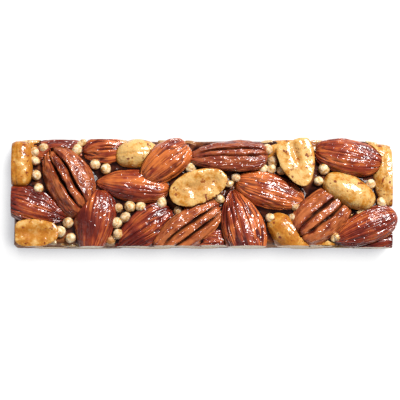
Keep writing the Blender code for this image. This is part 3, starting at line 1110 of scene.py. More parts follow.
    def cut(self, piece: bpy.types.Object) -> None:
        """Cuts the nut flat along the knife's cuts, with pale flesh inside a thin rim of skin.

        Args:
            piece: The nut's object, in place.
        """
        bm = bmesh.new()
        bm.from_mesh(piece.data)
        crossed = []
        for point, away in BAR.cuts(self.overhang, self.whole):
            place = point * MM
            if max((vert.co - place).dot(away) for vert in bm.verts) <= 0:
                continue
            crossed.append((place, away))
            bmesh.ops.bisect_plane(
                bm,
                geom=bm.verts[:] + bm.edges[:] + bm.faces[:],
                dist=self.cut_slack * MM,
                plane_co=place,
                plane_no=away,
                clear_outer=True,
            )
            open_edges = [edge for edge in bm.edges if edge.is_boundary]
            caps = bmesh.ops.holes_fill(bm, edges=open_edges, sides=0)["faces"]
            for cap in caps:
                cap.material_index = 1
                cap.smooth = False
            thickness = self.skin_rim * MM
            rim = bmesh.ops.inset_region(bm, faces=caps, thickness=thickness, use_even_offset=False)
            for ring in rim["faces"]:
                ring.material_index = 0
            bmesh.ops.triangulate(bm, faces=[cap for cap in caps if cap.is_valid])
        for place, away in crossed:
            for vert in bm.verts:
                vert.co -= away * max((vert.co - place).dot(away), 0.0)
        bm.to_mesh(piece.data)
        bm.free()

    def piece(self, above: Sequence[Nut]) -> bpy.types.Object:
        """Makes the nut as it shows in the bar.

        Args:
            above: The nuts that lie on this one.

        Returns:
            The object, dressed and in place.
        """
        grid = self.base_grid if self.name.startswith("base") else self.grid
        points, faces, held = self.shell(grid)
        places = self.dented(self.to_bar(points), above)
        places[:, 2] = np.maximum(places[:, 2], 0.0)
        materials = [self.skin().material(), flesh_material(self.flesh)]
        piece = make_object(f"glazed_{self.name}", places, faces, materials, held | {"own": points})
        self.cut(piece)
        piece.data.set_sharp_from_angle(angle=math.radians(self.sharp_angle))
        return piece


def flesh_material(flesh: CutFlesh) -> bpy.types.Material:
    """Finds the material of a nut's cut faces, or makes it the first time."""
    return bpy.data.materials.get(f"cut_{flesh.name}_flesh") or flesh.material()


@dataclass(frozen=True)
class Almond(Nut):
    """A whole almond: flat, drop-shaped and ridged from end to end, some more strongly than others.

    Its grooves follow the lines where a noise passes 0, with a finer noise added so that they join and
    part.
    """

    blunt: float = 0.50
    point: float = 0.68
    ridges: float = 1.0

    slot: ClassVar[Slot] = Slot.ALMOND
    flesh: ClassVar[CutFlesh] = ALMOND_FLESH
    thickness: ClassVar[float] = 0.66
    grid: ClassVar[RingGrid] = RingGrid(64, 168)
    line_scale: ClassVar[Triple] = (2.0, 2.0, 0.8)
    fine_line_scale: ClassVar[float] = 2.8
    fine_line_share: ClassVar[float] = 0.4
    groove_depth: ClassVar[float] = 0.22
    groove_width: ClassVar[float] = 0.20
    # How dark the grooves are, partly the skin's own colour and partly painted shade
    groove_painted_shade: ClassVar[float] = 0.75
    lumps: ClassVar[float] = 0.35
    lump_size: ClassVar[float] = 5.5
    wrinkles: ClassVar[float] = 0.14
    wrinkle_size: ClassVar[Triple] = (2.4, 1.5, 1.5)

    def relief(self, points: np.ndarray, flow: np.ndarray) -> tuple[np.ndarray, np.ndarray]:
        """Gives broad lumps, fine wrinkles and narrow grooves that run together at the ends.

        Args:
            points: The smooth surface's points in the nut's frame.
            flow: For each point a vector that changes quickly round the nut and slowly along it.

        Returns:
            How far each point moves outwards, and how deep in a groove it is, 0 to 1.
        """
        fine_line = smooth_noise(flow * self.fine_line_scale, self.seed + 5)
        line = smooth_noise(flow * self.line_scale, self.seed) + self.fine_line_share * fine_line
        groove = np.exp(-((line / self.groove_width) ** 2))
        lumps = self.lumps * layered_noise(points / self.lump_size, self.seed + 1)
        wrinkles = self.wrinkles * layered_noise(points / self.wrinkle_size, self.seed + 2)
        return lumps + wrinkles - self.groove_depth * self.ridges * groove, groove

    def skin(self) -> AlmondSkin:
        """The finish of the almond's outside."""
        return AlmondSkin(self.seed, self.tone, lines=min(1.0, self.groove_painted_shade * self.ridges))


@dataclass(frozen=True)
class Peanut(Nut):
    """A whole blanched peanut, smooth, with a faint seam between its halves.

    The seam runs on one side of the nut, first_side to first_side + side_range degrees round from its
    edge.
    """

    blunt: float = 0.42
    point: float = 0.46

    slot: ClassVar[Slot] = Slot.PEANUT
    flesh: ClassVar[CutFlesh] = PEANUT_FLESH
    thickness: ClassVar[float] = 0.84
    first_side: ClassVar[int] = 40
    side_range: ClassVar[int] = 60
    seam_depth: ClassVar[float] = 0.14
    seam_width: ClassVar[float] = 0.28
    seam_painted_shade: ClassVar[float] = 0.4
    lumps: ClassVar[float] = 0.40
    lump_size: ClassVar[float] = 6.0
    pits: ClassVar[float] = 0.08
    pit_size: ClassVar[float] = 1.6

    def relief(self, points: np.ndarray, flow: np.ndarray) -> tuple[np.ndarray, np.ndarray]:
        """Gives broad lumps, small pits and the seam.

        Args:
            points: The smooth surface's points in the nut's frame.
            flow: For each point a vector that changes quickly round the nut and slowly along it.

        Returns:
            How far each point moves outwards, and how deep in a groove it is, 0 to 1.
        """
        side = math.radians(self.first_side + self.seed % self.side_range)
        offset = flow[:, 0] * math.sin(side) - flow[:, 1] * math.cos(side)
        facing = flow[:, 0] * math.cos(side) + flow[:, 1] * math.sin(side)
        seam = np.exp(-((offset / self.seam_width) ** 2)) * (facing > 0)
        lumps = self.lumps * layered_noise(points / self.lump_size, self.seed + 1, layers=2)
        pits = self.pits * layered_noise(points / self.pit_size, self.seed + 2)
        # The seam, scaled by seam_painted_shade, is darkened in the skin's finish as painted shade
        return lumps + pits - self.seam_depth * seam, seam * self.seam_painted_shade

    def skin(self) -> PeanutSkin:
        """The finish of the peanut's outside."""
        return PeanutSkin(self.seed, self.tone)


@dataclass(frozen=True)
class SplitPeanut(Nut):
    """Half a blanched peanut with its inner face up: a rim round a shallow dish or a narrow groove.

    The dish's width and end are shares of the half width and of the length, and its depth is a share of
    the face's height. The roughness is the height of the broken face's unevenness.
    """

    blunt: float = 0.40
    point: float = 0.46
    dish_width: float = 0.42
    dish_depth: float = 0.75
    dish_end: float = 1.0
    roughness: float = 0.10

    slot: ClassVar[Slot] = Slot.SPLIT_PEANUT
    flesh: ClassVar[CutFlesh] = PEANUT_FLESH
    thickness: ClassVar[float] = 0.56
    face: ClassVar[float] = 0.30
    face_power: ClassVar[float] = 0.5
    grid: ClassVar[RingGrid] = RingGrid(64, 112)
    dish_power: ClassVar[float] = 0.7
    lumps: ClassVar[float] = 0.35
    lump_size: ClassVar[float] = 4.5
    broken_size: ClassVar[float] = 1.8

    def section(self, along: np.ndarray, around: np.ndarray) -> tuple[np.ndarray, np.ndarray]:
        """Gives a nearly flat face with a dish along its middle.

        Args:
            along: Share of the length at each point.
            around: Angle of each point, in radians.

        Returns:
            Height at each point as a share of the half thickness, and how deep in the dish it is, 0 to 1.
        """
        up, across = np.sin(around), np.cos(around)
        path = np.sin(np.pi * np.clip(along / self.dish_end, 0.0, 1.0)) ** self.dish_power
        dish = np.exp(-((across / self.dish_width) ** 2)) * path * (up > 0)
        raised = self.face * (np.maximum(up, 0) ** self.face_power - self.dish_depth * dish)
        # The dish is also darkened towards amber in the skin's finish: painted shade
        return np.where(up > 0, raised, up * self.underside), dish

    def relief(self, points: np.ndarray, flow: np.ndarray) -> tuple[np.ndarray, np.ndarray]:
        """Gives broad lumps and the broken face's unevenness.

        Args:
            points: The smooth surface's points in the nut's frame.
            flow: For each point a vector that changes quickly round the nut and slowly along it; not used.

        Returns:
            How far each point moves outwards, and how deep in a groove it is, 0 to 1.
        """
        lumps = self.lumps * layered_noise(points / self.lump_size, self.seed + 1, layers=2)
        broken = self.roughness * layered_noise(points / self.broken_size, self.seed + 2)
        return lumps + broken, np.zeros(len(points))

    def skin(self) -> PeanutSkin:
        """The finish of the half peanut's outside."""
        return PeanutSkin(self.seed, self.tone, name="split_peanut_skin")


@dataclass(frozen=True)
class Pecan(Nut):
    """A pecan half with its round side up, two deep furrows along it and a narrow ridge between them.

    The furrows' place, bend and width are shares of the half width, and their depth is a share of the
    height there. The nut is notched at both ends, where they run out. Reddened is how far its skin turns
    red, 0 to 1.
    """

    blunt: float = 0.30
    point: float = 0.36
    furrow_place: float = 0.24
    furrow_bend: float = 0.06
    reddened: float = 0.0

    slot: ClassVar[Slot] = Slot.PECAN
    flesh: ClassVar[CutFlesh] = PECAN_FLESH
    thickness: ClassVar[float] = 0.62
    underside: ClassVar[float] = 0.70
    grid: ClassVar[RingGrid] = RingGrid(84, 216)
    furrow_width: ClassVar[float] = 0.065
    furrow_depth: ClassVar[float] = 0.50
    furrow_power: ClassVar[float] = 2.6
    furrow_fade: ClassVar[float] = 0.35
    bends: ClassVar[float] = 3.0
    left_path: ClassVar[float] = 0.0
    right_path: ClassVar[float] = 9.0
    notch: ClassVar[float] = 0.09
    notch_width: ClassVar[float] = 0.20
    notch_power: ClassVar[int] = 3
    folds: ClassVar[float] = 0.36
    fold_size: ClassVar[Triple] = (4.2, 2.0, 2.0)
    grit: ClassVar[float] = 0.13
    grit_size: ClassVar[Triple] = (1.7, 1.1, 1.1)
    rib_scale: ClassVar[Triple] = (1.6, 1.6, 1.2)
    crease_width: ClassVar[float] = 0.28
    crease_painted_shade: ClassVar[float] = 0.5
    crease_depth: ClassVar[float] = 0.24

    def section(self, along: np.ndarray, around: np.ndarray) -> tuple[np.ndarray, np.ndarray]:
        """Gives a round back with two furrows that wander a little.

        Args:
            along: Share of the length at each point.
            around: Angle of each point, in radians.

        Returns:
            Height at each point as a share of the half thickness, and how deep in a furrow it is, 0 to 1.
        """
        up, across = np.sin(around), np.cos(around)
        side = np.where(across > 0, self.left_path, self.right_path)
        path = np.stack([along * self.bends, side, np.zeros_like(along)], axis=1)
        place = self.furrow_place + self.furrow_bend * smooth_noise(path, self.seed)
        beside = np.abs((np.abs(across) - place) / self.furrow_width)
        furrow = np.exp(-(beside**self.furrow_power)) * (up > 0)
        furrow = furrow * np.sin(np.pi * np.clip(along, 0.0, 1.0)) ** self.furrow_fade
        raised = up * (1 - self.furrow_depth * furrow)
        return np.where(up > 0, raised, up * self.underside), furrow

    def drawn_in(self, along: np.ndarray, around: np.ndarray) -> np.ndarray:
        """Gives how far points are drawn in towards the middle, most where the furrows run out.

        Args:
            along: Share of the length at each point.
            around: Angle of each point, in radians.

        Returns:
            For each point a share of its distance from the middle.
        """
        beside = (np.abs(np.cos(around)) - self.furrow_place) / self.notch_width
        return self.notch * np.exp(-(beside**2)) * np.abs(2 * along - 1) ** self.notch_power

    def relief(self, points: np.ndarray, flow: np.ndarray) -> tuple[np.ndarray, np.ndarray]:
        """Gives the lobes' folds and creases, which run mostly along the nut, and the grit on them.

        Args:
            points: The smooth surface's points in the nut's frame.
            flow: For each point a vector that changes quickly round the nut and slowly along it.

        Returns:
            How far each point moves outwards, and how deep in a groove it is, 0 to 1.
        """
        folds = layered_noise(points / self.fold_size, self.seed + 1)
        grit = layered_noise(points / self.grit_size, self.seed + 3, layers=2)
        ribs = smooth_noise(flow * self.rib_scale, self.seed + 2)
        # The creases, scaled by crease_painted_shade, are darkened in the skin's finish, partly by painted
        # shade
        crease = np.exp(-((ribs / self.crease_width) ** 2)) * self.crease_painted_shade
        return self.folds * folds + self.grit * grit - self.crease_depth * crease, crease

    def skin(self) -> PecanSkin:
        """The finish of the pecan's outside."""
        return PecanSkin(self.seed, self.tone, self.reddened)


UPPER_NUTS: tuple[Nut, ...] = (
    Almond("almond_04", -12.2, 9.2, 16.0, 18.0, 11.8, 219, 2, -2, 0.5, 0.38, 0.48, overhang=0.6),
    SplitPeanut("peanut_04", -1.9, 1.2, 15.4, 18.4, 10.4, 20, 0, 6, 0.35, 0.38, 0.42, roughness=0.20),
    Peanut("peanut_06", 45.0, 0.1, 15.8, 17.2, 9.8, -27, tone=0.5, blunt=0.36, point=0.38),
    SplitPeanut(
        "peanut_05", 29.1, 8.6, 15.5, 14.8, 11.6, -74, -5, 0, 0.4, 0.16, 0.50,
        dish_width=0.20, dish_depth=1.1, dish_end=0.62, roughness=0.05,
    ),
    Pecan("pecan_01", -42.6, 4.2, 15.4, 22.2, 15.4, -59, 0, 8, blunt=0.44, point=0.28, lean=-0.34),
    Almond("almond_05", 11.8, -10.7, 15.6, 24.6, 13.6, 105, 4, -8, tone=0.2, overhang=0.6, ridges=1.4),
    Almond("almond_07", 45.0, 10.9, 15.2, 21.6, 11.6, 169, tone=0.1, blunt=0.42, point=0.42, overhang=0.6),
    Pecan(
        "pecan_02", 7.6, 11.1, 15.2, 24.4, 10.7, 182, 0, 20, 0.1, 0.26, 0.42,
        overhang=0.3, reddened=0.35,
    ),
    Almond("almond_02", -34.3, -10.2, 15.0, 22.0, 13.2, -99, 0, 6, -0.2, 0.38, overhang=0.5, ridges=0.6),
    Pecan("pecan_04", 37.0, -6.8, 14.8, 21.8, 14.8, 42, 0, 4, 0.2, blunt=0.28),
    Almond("almond_08", 49.9, -11.3, 14.6, 21.8, 11.0, 203, 0, -6, 0.0, 0.44, overhang=0.6, whole=True),
    Peanut("peanut_01", -57.5, 8.6, 14.8, 14.2, 8.2, 89, tone=-0.4, blunt=0.26, point=0.28),
    SplitPeanut(
        "peanut_02", -51.9, -13.2, 14.2, 13.4, 8.8, 2,
        tone=-0.3, blunt=0.24, point=0.38, overhang=0.6,
    ),
    Almond("almond_01", -53.4, -4.4, 14.4, 22.8, 11.4, -19, tone=-0.25, ridges=1.8),
    Almond("almond_03", -22.4, 2.0, 14.2, 22.8, 10.8, 174, tone=0.1, blunt=0.44, ridges=0.7),
    Almond("almond_06", 20.6, 0.2, 14.2, 21.8, 11.8, 163, tone=0.45, blunt=0.46, point=0.38),
    Peanut("peanut_03", -20.9, 12.2, 14.2, 14.0, 8.8, 4, tone=0.7, blunt=0.36, point=0.40, overhang=0.2),
    Pecan("pecan_03", -4.6, -11.5, 14.0, 25.0, 13.0, 36, 0, 16, 0.4, point=0.30, overhang=0.3),
    Almond(
        "almond_10", -18.9, -11.6, 13.9, 21.6, 12.2, 215,
        tone=-0.2, blunt=0.40, overhang=0.4, ridges=1.6,
    ),
    Peanut("peanut_07", 26.4, -13.4, 13.8, 17.4, 9.8, -46, tone=-0.5, blunt=0.38, overhang=0.3),
    Peanut("peanut_08", 57.2, 4.6, 13.6, 18.4, 8.8, 95, tone=0.3, blunt=0.30, point=0.32),
    Almond("almond_09", -29.8, 13.0, 13.2, 16.6, 9.8, 4, 0, 14, 0.3, 0.40, ridges=1.8),
    Peanut("peanut_09", 34.6, -15.2, 11.6, 15.0, 8.0, -3),
)

LOWER_NUTS: tuple[Nut, ...] = (
    Almond("almond_11", -44.4, 13.0, 12.6, 20.0, 9.4, 2),
    Peanut("peanut_10", -54.0, 13.4, 11.6, 13.0, 8.0, 15),
    Peanut("peanut_11", 54.4, 11.4, 13.0, 13.0, 8.0, -12, tone=0.4, blunt=0.34),
    Peanut("peanut_12", 24.0, 13.2, 12.0, 13.4, 8.2, 10),
    Almond("almond_12", 5.0, -14.4, 11.6, 18.0, 9.6, 6),
    Peanut("peanut_13", 46.8, -7.6, 11.2, 13.0, 8.4, 30),
    Almond("almond_13", 54.6, -14.0, 11.6, 18.0, 9.6, 10, tone=-0.6, overhang=0.6),
)


class Row(Enum):
    """The rows of nuts near the base: place across the bar and number of nuts."""

    FRONT = (-12.8, 7)
    MIDDLE = (0.0, 6)
    BACK = (12.8, 7)


@dataclass(frozen=True)
class BaseLayer:
    """The nuts near the base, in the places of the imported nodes, which only the sides and underside show.

    Each spread, and the swing of the heading, is how far a draw may go to either side: in millimetres
    for x and y, and in degrees for the others. A nut's sizes are multiplied by a draw within
    scale_limits. Sunk is how much of a nut's thickness is lost in the bar's flat underside. The sizes
    are length and width.
    """

    rows: tuple[Row, ...] = (Row.FRONT, Row.MIDDLE, Row.BACK)
    seed: int = 11
    pitch: float = 16.9
    sunk: float = 0.7
    kinds: tuple[type[Nut], ...] = (Almond, Peanut, Almond, Peanut, Pecan)
    scale_limits: Pair = (0.94, 1.06)
    x_spread: float = 1.2
    y_spread: float = 0.8
    headings: tuple[int, int] = (0, 180)
    swing: float = 30.0
    roll_spread: float = 10.0
    sizes: dict[type[Nut], Pair] = field(
        default_factory=lambda: {Almond: (20.0, 10.8), Peanut: (15.5, 9.0), Pecan: (20.5, 11.4)}
    )

    def nuts(self) -> list[Nut]:
        """Draws the nuts, with the same draws as in the bar's construction.

        Returns:
            The nuts, row by row.
        """
        draw = random.Random(self.seed)
        found: list[Nut] = []
        for row in self.rows:
            y, count = row.value
            for step in range(count):
                kind = draw.choice(self.kinds)
                length, width = (size * draw.uniform(*self.scale_limits) for size in self.sizes[kind])
                thickness = width * kind.thickness * (1 + kind.underside) / 2
                x = (step - (count - 1) / 2) * self.pitch
                found.append(
                    kind(
                        name=f"base_{kind.slot.value}_{len(found) + 1:02d}",
                        x=x + draw.uniform(-self.x_spread, self.x_spread),
                        y=y + draw.uniform(-self.y_spread, self.y_spread),
                        top=thickness - self.sunk,
                        length=length,
                        width=width,
                        heading=draw.choice(self.headings) + draw.uniform(-self.swing, self.swing),
                        roll=draw.uniform(-self.roll_spread, self.roll_spread),
                    )
                )
        return found


@dataclass(frozen=True)
class SyrupSlab:
    """The slab of syrup: it climbs the nuts that stand in it and sinks back from the cut nuts' faces.

    The gaps are how far it stands back at the two ends. Its upper edges are rounded off by a shoulder.
    Recess is how far its sides and underside stand back everywhere, and sink how much more they do away
    from nuts, unevenly. The rest shades it: lighter near an edge, by edge_glow, and darker at a nut, by
    crevice, which is painted shade.
    """

    cells: tuple[int, int, int] = (320, 90, 28)
    lump: float = 7.0
    roughness: float = 0.7
    near_margin: float = 3.0
    near_share: float = 0.8
    climb: float = 0.45
    climb_reach: float = 0.8
    recess: float = 0.12
    sink: float = 0.45
    sink_even: float = 0.6
    sink_uneven: float = 0.4
    sink_size: float = 3.0
    ripple: float = 0.16
    ripple_size: float = 2.6
    left_gap: float = 0.5
    right_gap: float = 0.35
    shoulder_in: float = 1.3
    shoulder_down: float = 1.8
    shoulder_power: float = 1.5
    edge_glow: float = 0.3
    edge_reach: float = 1.6
    # Painted shade: how much darker the syrup is at a nut
    crevice_painted_shade: float = 0.36
    seed: int = 21

    def lattice(self) -> tuple[np.ndarray, list[list[int]], np.ndarray]:
        """Divides the outside of a box into small squares.

        Returns:
            The points as shares of the box, the faces, and for each point the axes that look outwards,
            as 1 or -1.
        """
        counts = np.array(self.cells)
        steps = np.stack(np.meshgrid(*[np.arange(count + 1) for count in counts], indexing="ij"), axis=-1)
        edge = (steps == 0).any(axis=-1) | (steps == counts).any(axis=-1)
        number = np.full(edge.shape, -1)
        number[edge] = np.arange(edge.sum())
        faces: list[list[int]] = []
        for axis in range(3):
            for end in (0, -1):
                sheet = np.take(number, end, axis=axis)
                ring = [sheet[:-1, :-1], sheet[1:, :-1], sheet[1:, 1:], sheet[:-1, 1:]]
                outwards = (end == -1) == (axis != 1)
                if not outwards:
                    ring.reverse()
                faces += np.stack([corner.ravel() for corner in ring], axis=1).tolist()
        share = steps[edge] / counts
        facing = (share == 1).astype(float) - (share == 0)
        return share, faces, facing

    def nearness(self, places: np.ndarray, nuts: Sequence[Nut]) -> np.ndarray:
        """Tells how close points are to the nearest nut.

        Args:
            places: Points in the bar's frame.
            nuts: All nuts.

        Returns:
            For each point 1 at a nut or inside it, falling to 0 a little way off.
        """
        near = np.zeros(len(places))
        for nut in nuts:
            around = np.abs(places - nut.centre).max(axis=1) < nut.length / 2 + self.near_margin
            away = (np.sqrt(nut.fullness(places[around])) - 1) * nut.half_width * self.near_share
            close = np.exp(-np.maximum(away, 0) / self.climb_reach)
            near[around] = np.maximum(near[around], close)
        return near

    def level(self, places: np.ndarray) -> np.ndarray:
        """Gives the height of the syrup away from nuts.

        Args:
            places: Points in the bar's frame.

        Returns:
            One height for each point.
        """
        waves = [noise.noise(Vector((x, y, 0)) / self.lump) for x, y in places[:, :2]]
        return BAR.syrup_height + self.roughness * np.array(waves)

    def piece(self, nuts: Sequence[Nut]) -> bpy.types.Object:
        """Makes the syrup.

        Args:
            nuts: All nuts that stand in it.

        Returns:
            The object, dressed.
        """
        share, faces, facing = self.lattice()
        low = np.array([self.left_gap - BAR.length / 2, -BAR.width / 2, 0.0])
        high = np.array([BAR.right_cut - self.right_gap, BAR.width / 2, 1.0])
        places = low + share * (high - low)
        places[:, 1] = low[1] + share[:, 1] * (BAR.back(places[:, 0]) - low[1])
        edge = np.minimum(places[:, 1] - low[1], BAR.back(places[:, 0]) - places[:, 1])
        edge = np.minimum(edge, np.minimum(places[:, 0] - low[0], high[0] - places[:, 0]))
        shoulder = (1 - np.minimum(edge / self.shoulder_in, 1)) ** self.shoulder_power
        places[:, 2] = share[:, 2] * (self.level(places) - self.shoulder_down * shoulder)
        near = self.nearness(places, nuts)
        ripples = self.ripple * layered_noise(places / self.ripple_size, self.seed, layers=1)
        top = facing[:, 2] > 0
        places[:, 2] += np.where(top, near * self.climb + ripples, 0.0)
        uneven = self.sink_uneven * layered_noise(places / self.sink_size, self.seed + 4)
        sunk = self.recess + self.sink * (1 - near) * (self.sink_even + uneven)
        outwards = np.where(top[:, None] & (np.arange(3) == 2), 0.0, facing)
        places -= outwards * sunk[:, None]
        held = {
            # Lighter near an edge; darker near a nut, which is painted shade
            "thin": self.edge_glow * np.exp(-np.maximum(edge, 0) / self.edge_reach) - self.crevice_painted_shade * near,
            "cut": 1 - np.clip(edge / self.shoulder_in, 0, 1),
        }
        return make_object("hard_syrup", places, faces, [DarkSyrup().material()], held)


@dataclass(frozen=True)
class Grain:
    """Where a puffed grain lies, its share of the usual size, and how far it is stained, 0 to 1."""

    x: float
    y: float
    size: float
    stained: float = 0.0


@dataclass(frozen=True)
class PuffedGrains:
    """Small puffed grains stuck to the syrup, each a little ball with a ring pressed into it.

    Lift is how high the middle of a grain stands over the syrup, and stained_sink how much deeper the
    most stained one sits. The ring's place and width are in radians from the grain's top, and its depth,
    the bumps and the unevenness are shares of the radius. The grains are tilted by up to tilt, in
    radians, and turn_steps is how far the turn about each axis goes on from one grain to the next.
    """

    radius: float = 1.65
    lift: float = 0.9
    stained_sink: float = 0.8
    stain_share: float = 0.9
    uneven: float = 0.15
    bumps: float = 0.07
    bump_scale: float = 1.8
    tilt: Pair = (0.5, 0.6)
    turn_steps: Triple = (2.1, 1.7, 1.1)
    grid: RingGrid = RingGrid(18, 24)
    ring_place: float = 0.95
    ring_width: float = 0.20
    ring_depth: float = 0.09
    grains: tuple[Grain, ...] = (
        Grain(-52.9, 12.6, 0.88, 0.3),
        Grain(-52.8, 9.8, 0.92),
        Grain(-50.1, 13.8, 0.92, 0.3),
        Grain(-52.3, 5.3, 0.98),
        Grain(-51.6, 1.1, 1.05),
        Grain(-42.3, -9.6, 0.98, 0.3),
        Grain(-44.7, -12.4, 1.00),
        Grain(-41.4, -14.4, 1.05),
        Grain(-39.8, 13.2, 1.08),
        Grain(-34.0, 8.7, 1.05),
        Grain(-30.7, 7.3, 1.02),
        Grain(-26.8, -5.0, 0.88, 0.4),
        Grain(-23.1, -4.6, 1.04, 0.1),
        Grain(-19.8, -4.6, 0.96),
        Grain(-13.2, -3.5, 1.10),
        Grain(-24.7, -8.0, 1.06, 0.35),
        Grain(-27.2, -9.7, 1.12),
        Grain(-26.8, -13.2, 0.94, 0.35),
        Grain(-29.2, -15.2, 0.92, 0.8),
        Grain(-4.3, 7.6, 1.02),
        Grain(9.9, 4.5, 0.88, 0.3),
        Grain(4.8, -2.2, 0.92),
        Grain(19.9, 13.4, 1.05, 0.3),
        Grain(21.4, 9.6, 0.98, 0.6),
        Grain(18.3, 7.3, 0.92),
        Grain(21.0, 7.2, 0.92),
        Grain(24.1, 6.7, 0.94),
        Grain(37.3, 7.2, 1.04),
        Grain(35.6, 3.4, 1.02),
        Grain(51.8, 2.4, 0.98),
        Grain(55.2, -3.1, 1.06),
        Grain(20.4, -8.1, 1.02),
        Grain(27.5, -8.1, 0.92, 0.4),
        Grain(28.2, -4.4, 0.88, 0.4),
        Grain(-8.2, -5.8, 0.84, 0.4),
        Grain(41.4, -14.2, 0.80, 0.2),
    )

    def ball(self, number: int, size: float) -> tuple[np.ndarray, np.ndarray]:
        """Makes one grain round the origin.

        Args:
            number: The grain's number, which gives it its own shape.
            size: Share of the usual size.

        Returns:
            The points, and how deep in the ring each one is, 0 to 1.
        """
        along, around = self.grid.along(), self.grid.around()
        polar = np.pi - np.arccos(1 - 2 * along)
        flat = np.sin(polar)
        directions = np.stack([flat * np.cos(around), -flat * np.sin(around), np.cos(polar)], axis=1)
        ring = np.exp(-(((polar - self.ring_place) / self.ring_width) ** 2))
        bumps = self.bumps * layered_noise(directions * self.bump_scale, number)
        radius = self.radius * size * (1 + bumps - self.ring_depth * ring)
        draw = random.Random(number)
        stretch = np.array([draw.uniform(1 - self.uneven, 1 + self.uneven) for _ in range(3)])
        roll, pitch, heading = (number * step for step in self.turn_steps)
        angles = (self.tilt[0] * math.sin(roll), self.tilt[1] * math.cos(pitch), heading)
        turn = np.array(Euler(angles).to_matrix())
        return (directions * radius[:, None] * stretch) @ turn.T, ring

    def piece(self) -> bpy.types.Object:
        """Makes all grains as one object.

        Returns:
            The object, dressed.
        """
        points: list[np.ndarray] = []
        held: dict[str, list[np.ndarray]] = {"hollow": [], "crown": [], "stained": []}
        for number, grain in enumerate(self.grains):
            ball, ring = self.ball(number, grain.size)
            height = BAR.syrup_height + self.lift - self.stained_sink * grain.stained
            points.append(ball + (grain.x, grain.y, height))
            held["hollow"].append(ring)
            held["crown"].append(ball[:, 2] / (self.radius * grain.size))
            held["stained"].append(np.full(len(ball), grain.stained * self.stain_share))
        joined = {name: np.concatenate(parts) for name, parts in held.items()}
        faces = repeated_faces(self.grid, len(points))
        husk = GrainHusk().material()
        return make_object("puffed_grains", np.concatenate(points), faces, [husk], joined)


@dataclass(frozen=True)
class Crumb:
    """A broken bit of nut: its middle, size, heading in degrees, and how far it is stained, 0 to 1."""

    x: float
    y: float
    z: float
    length: float
    width: float
    heading: float
    stained: float = 0.0


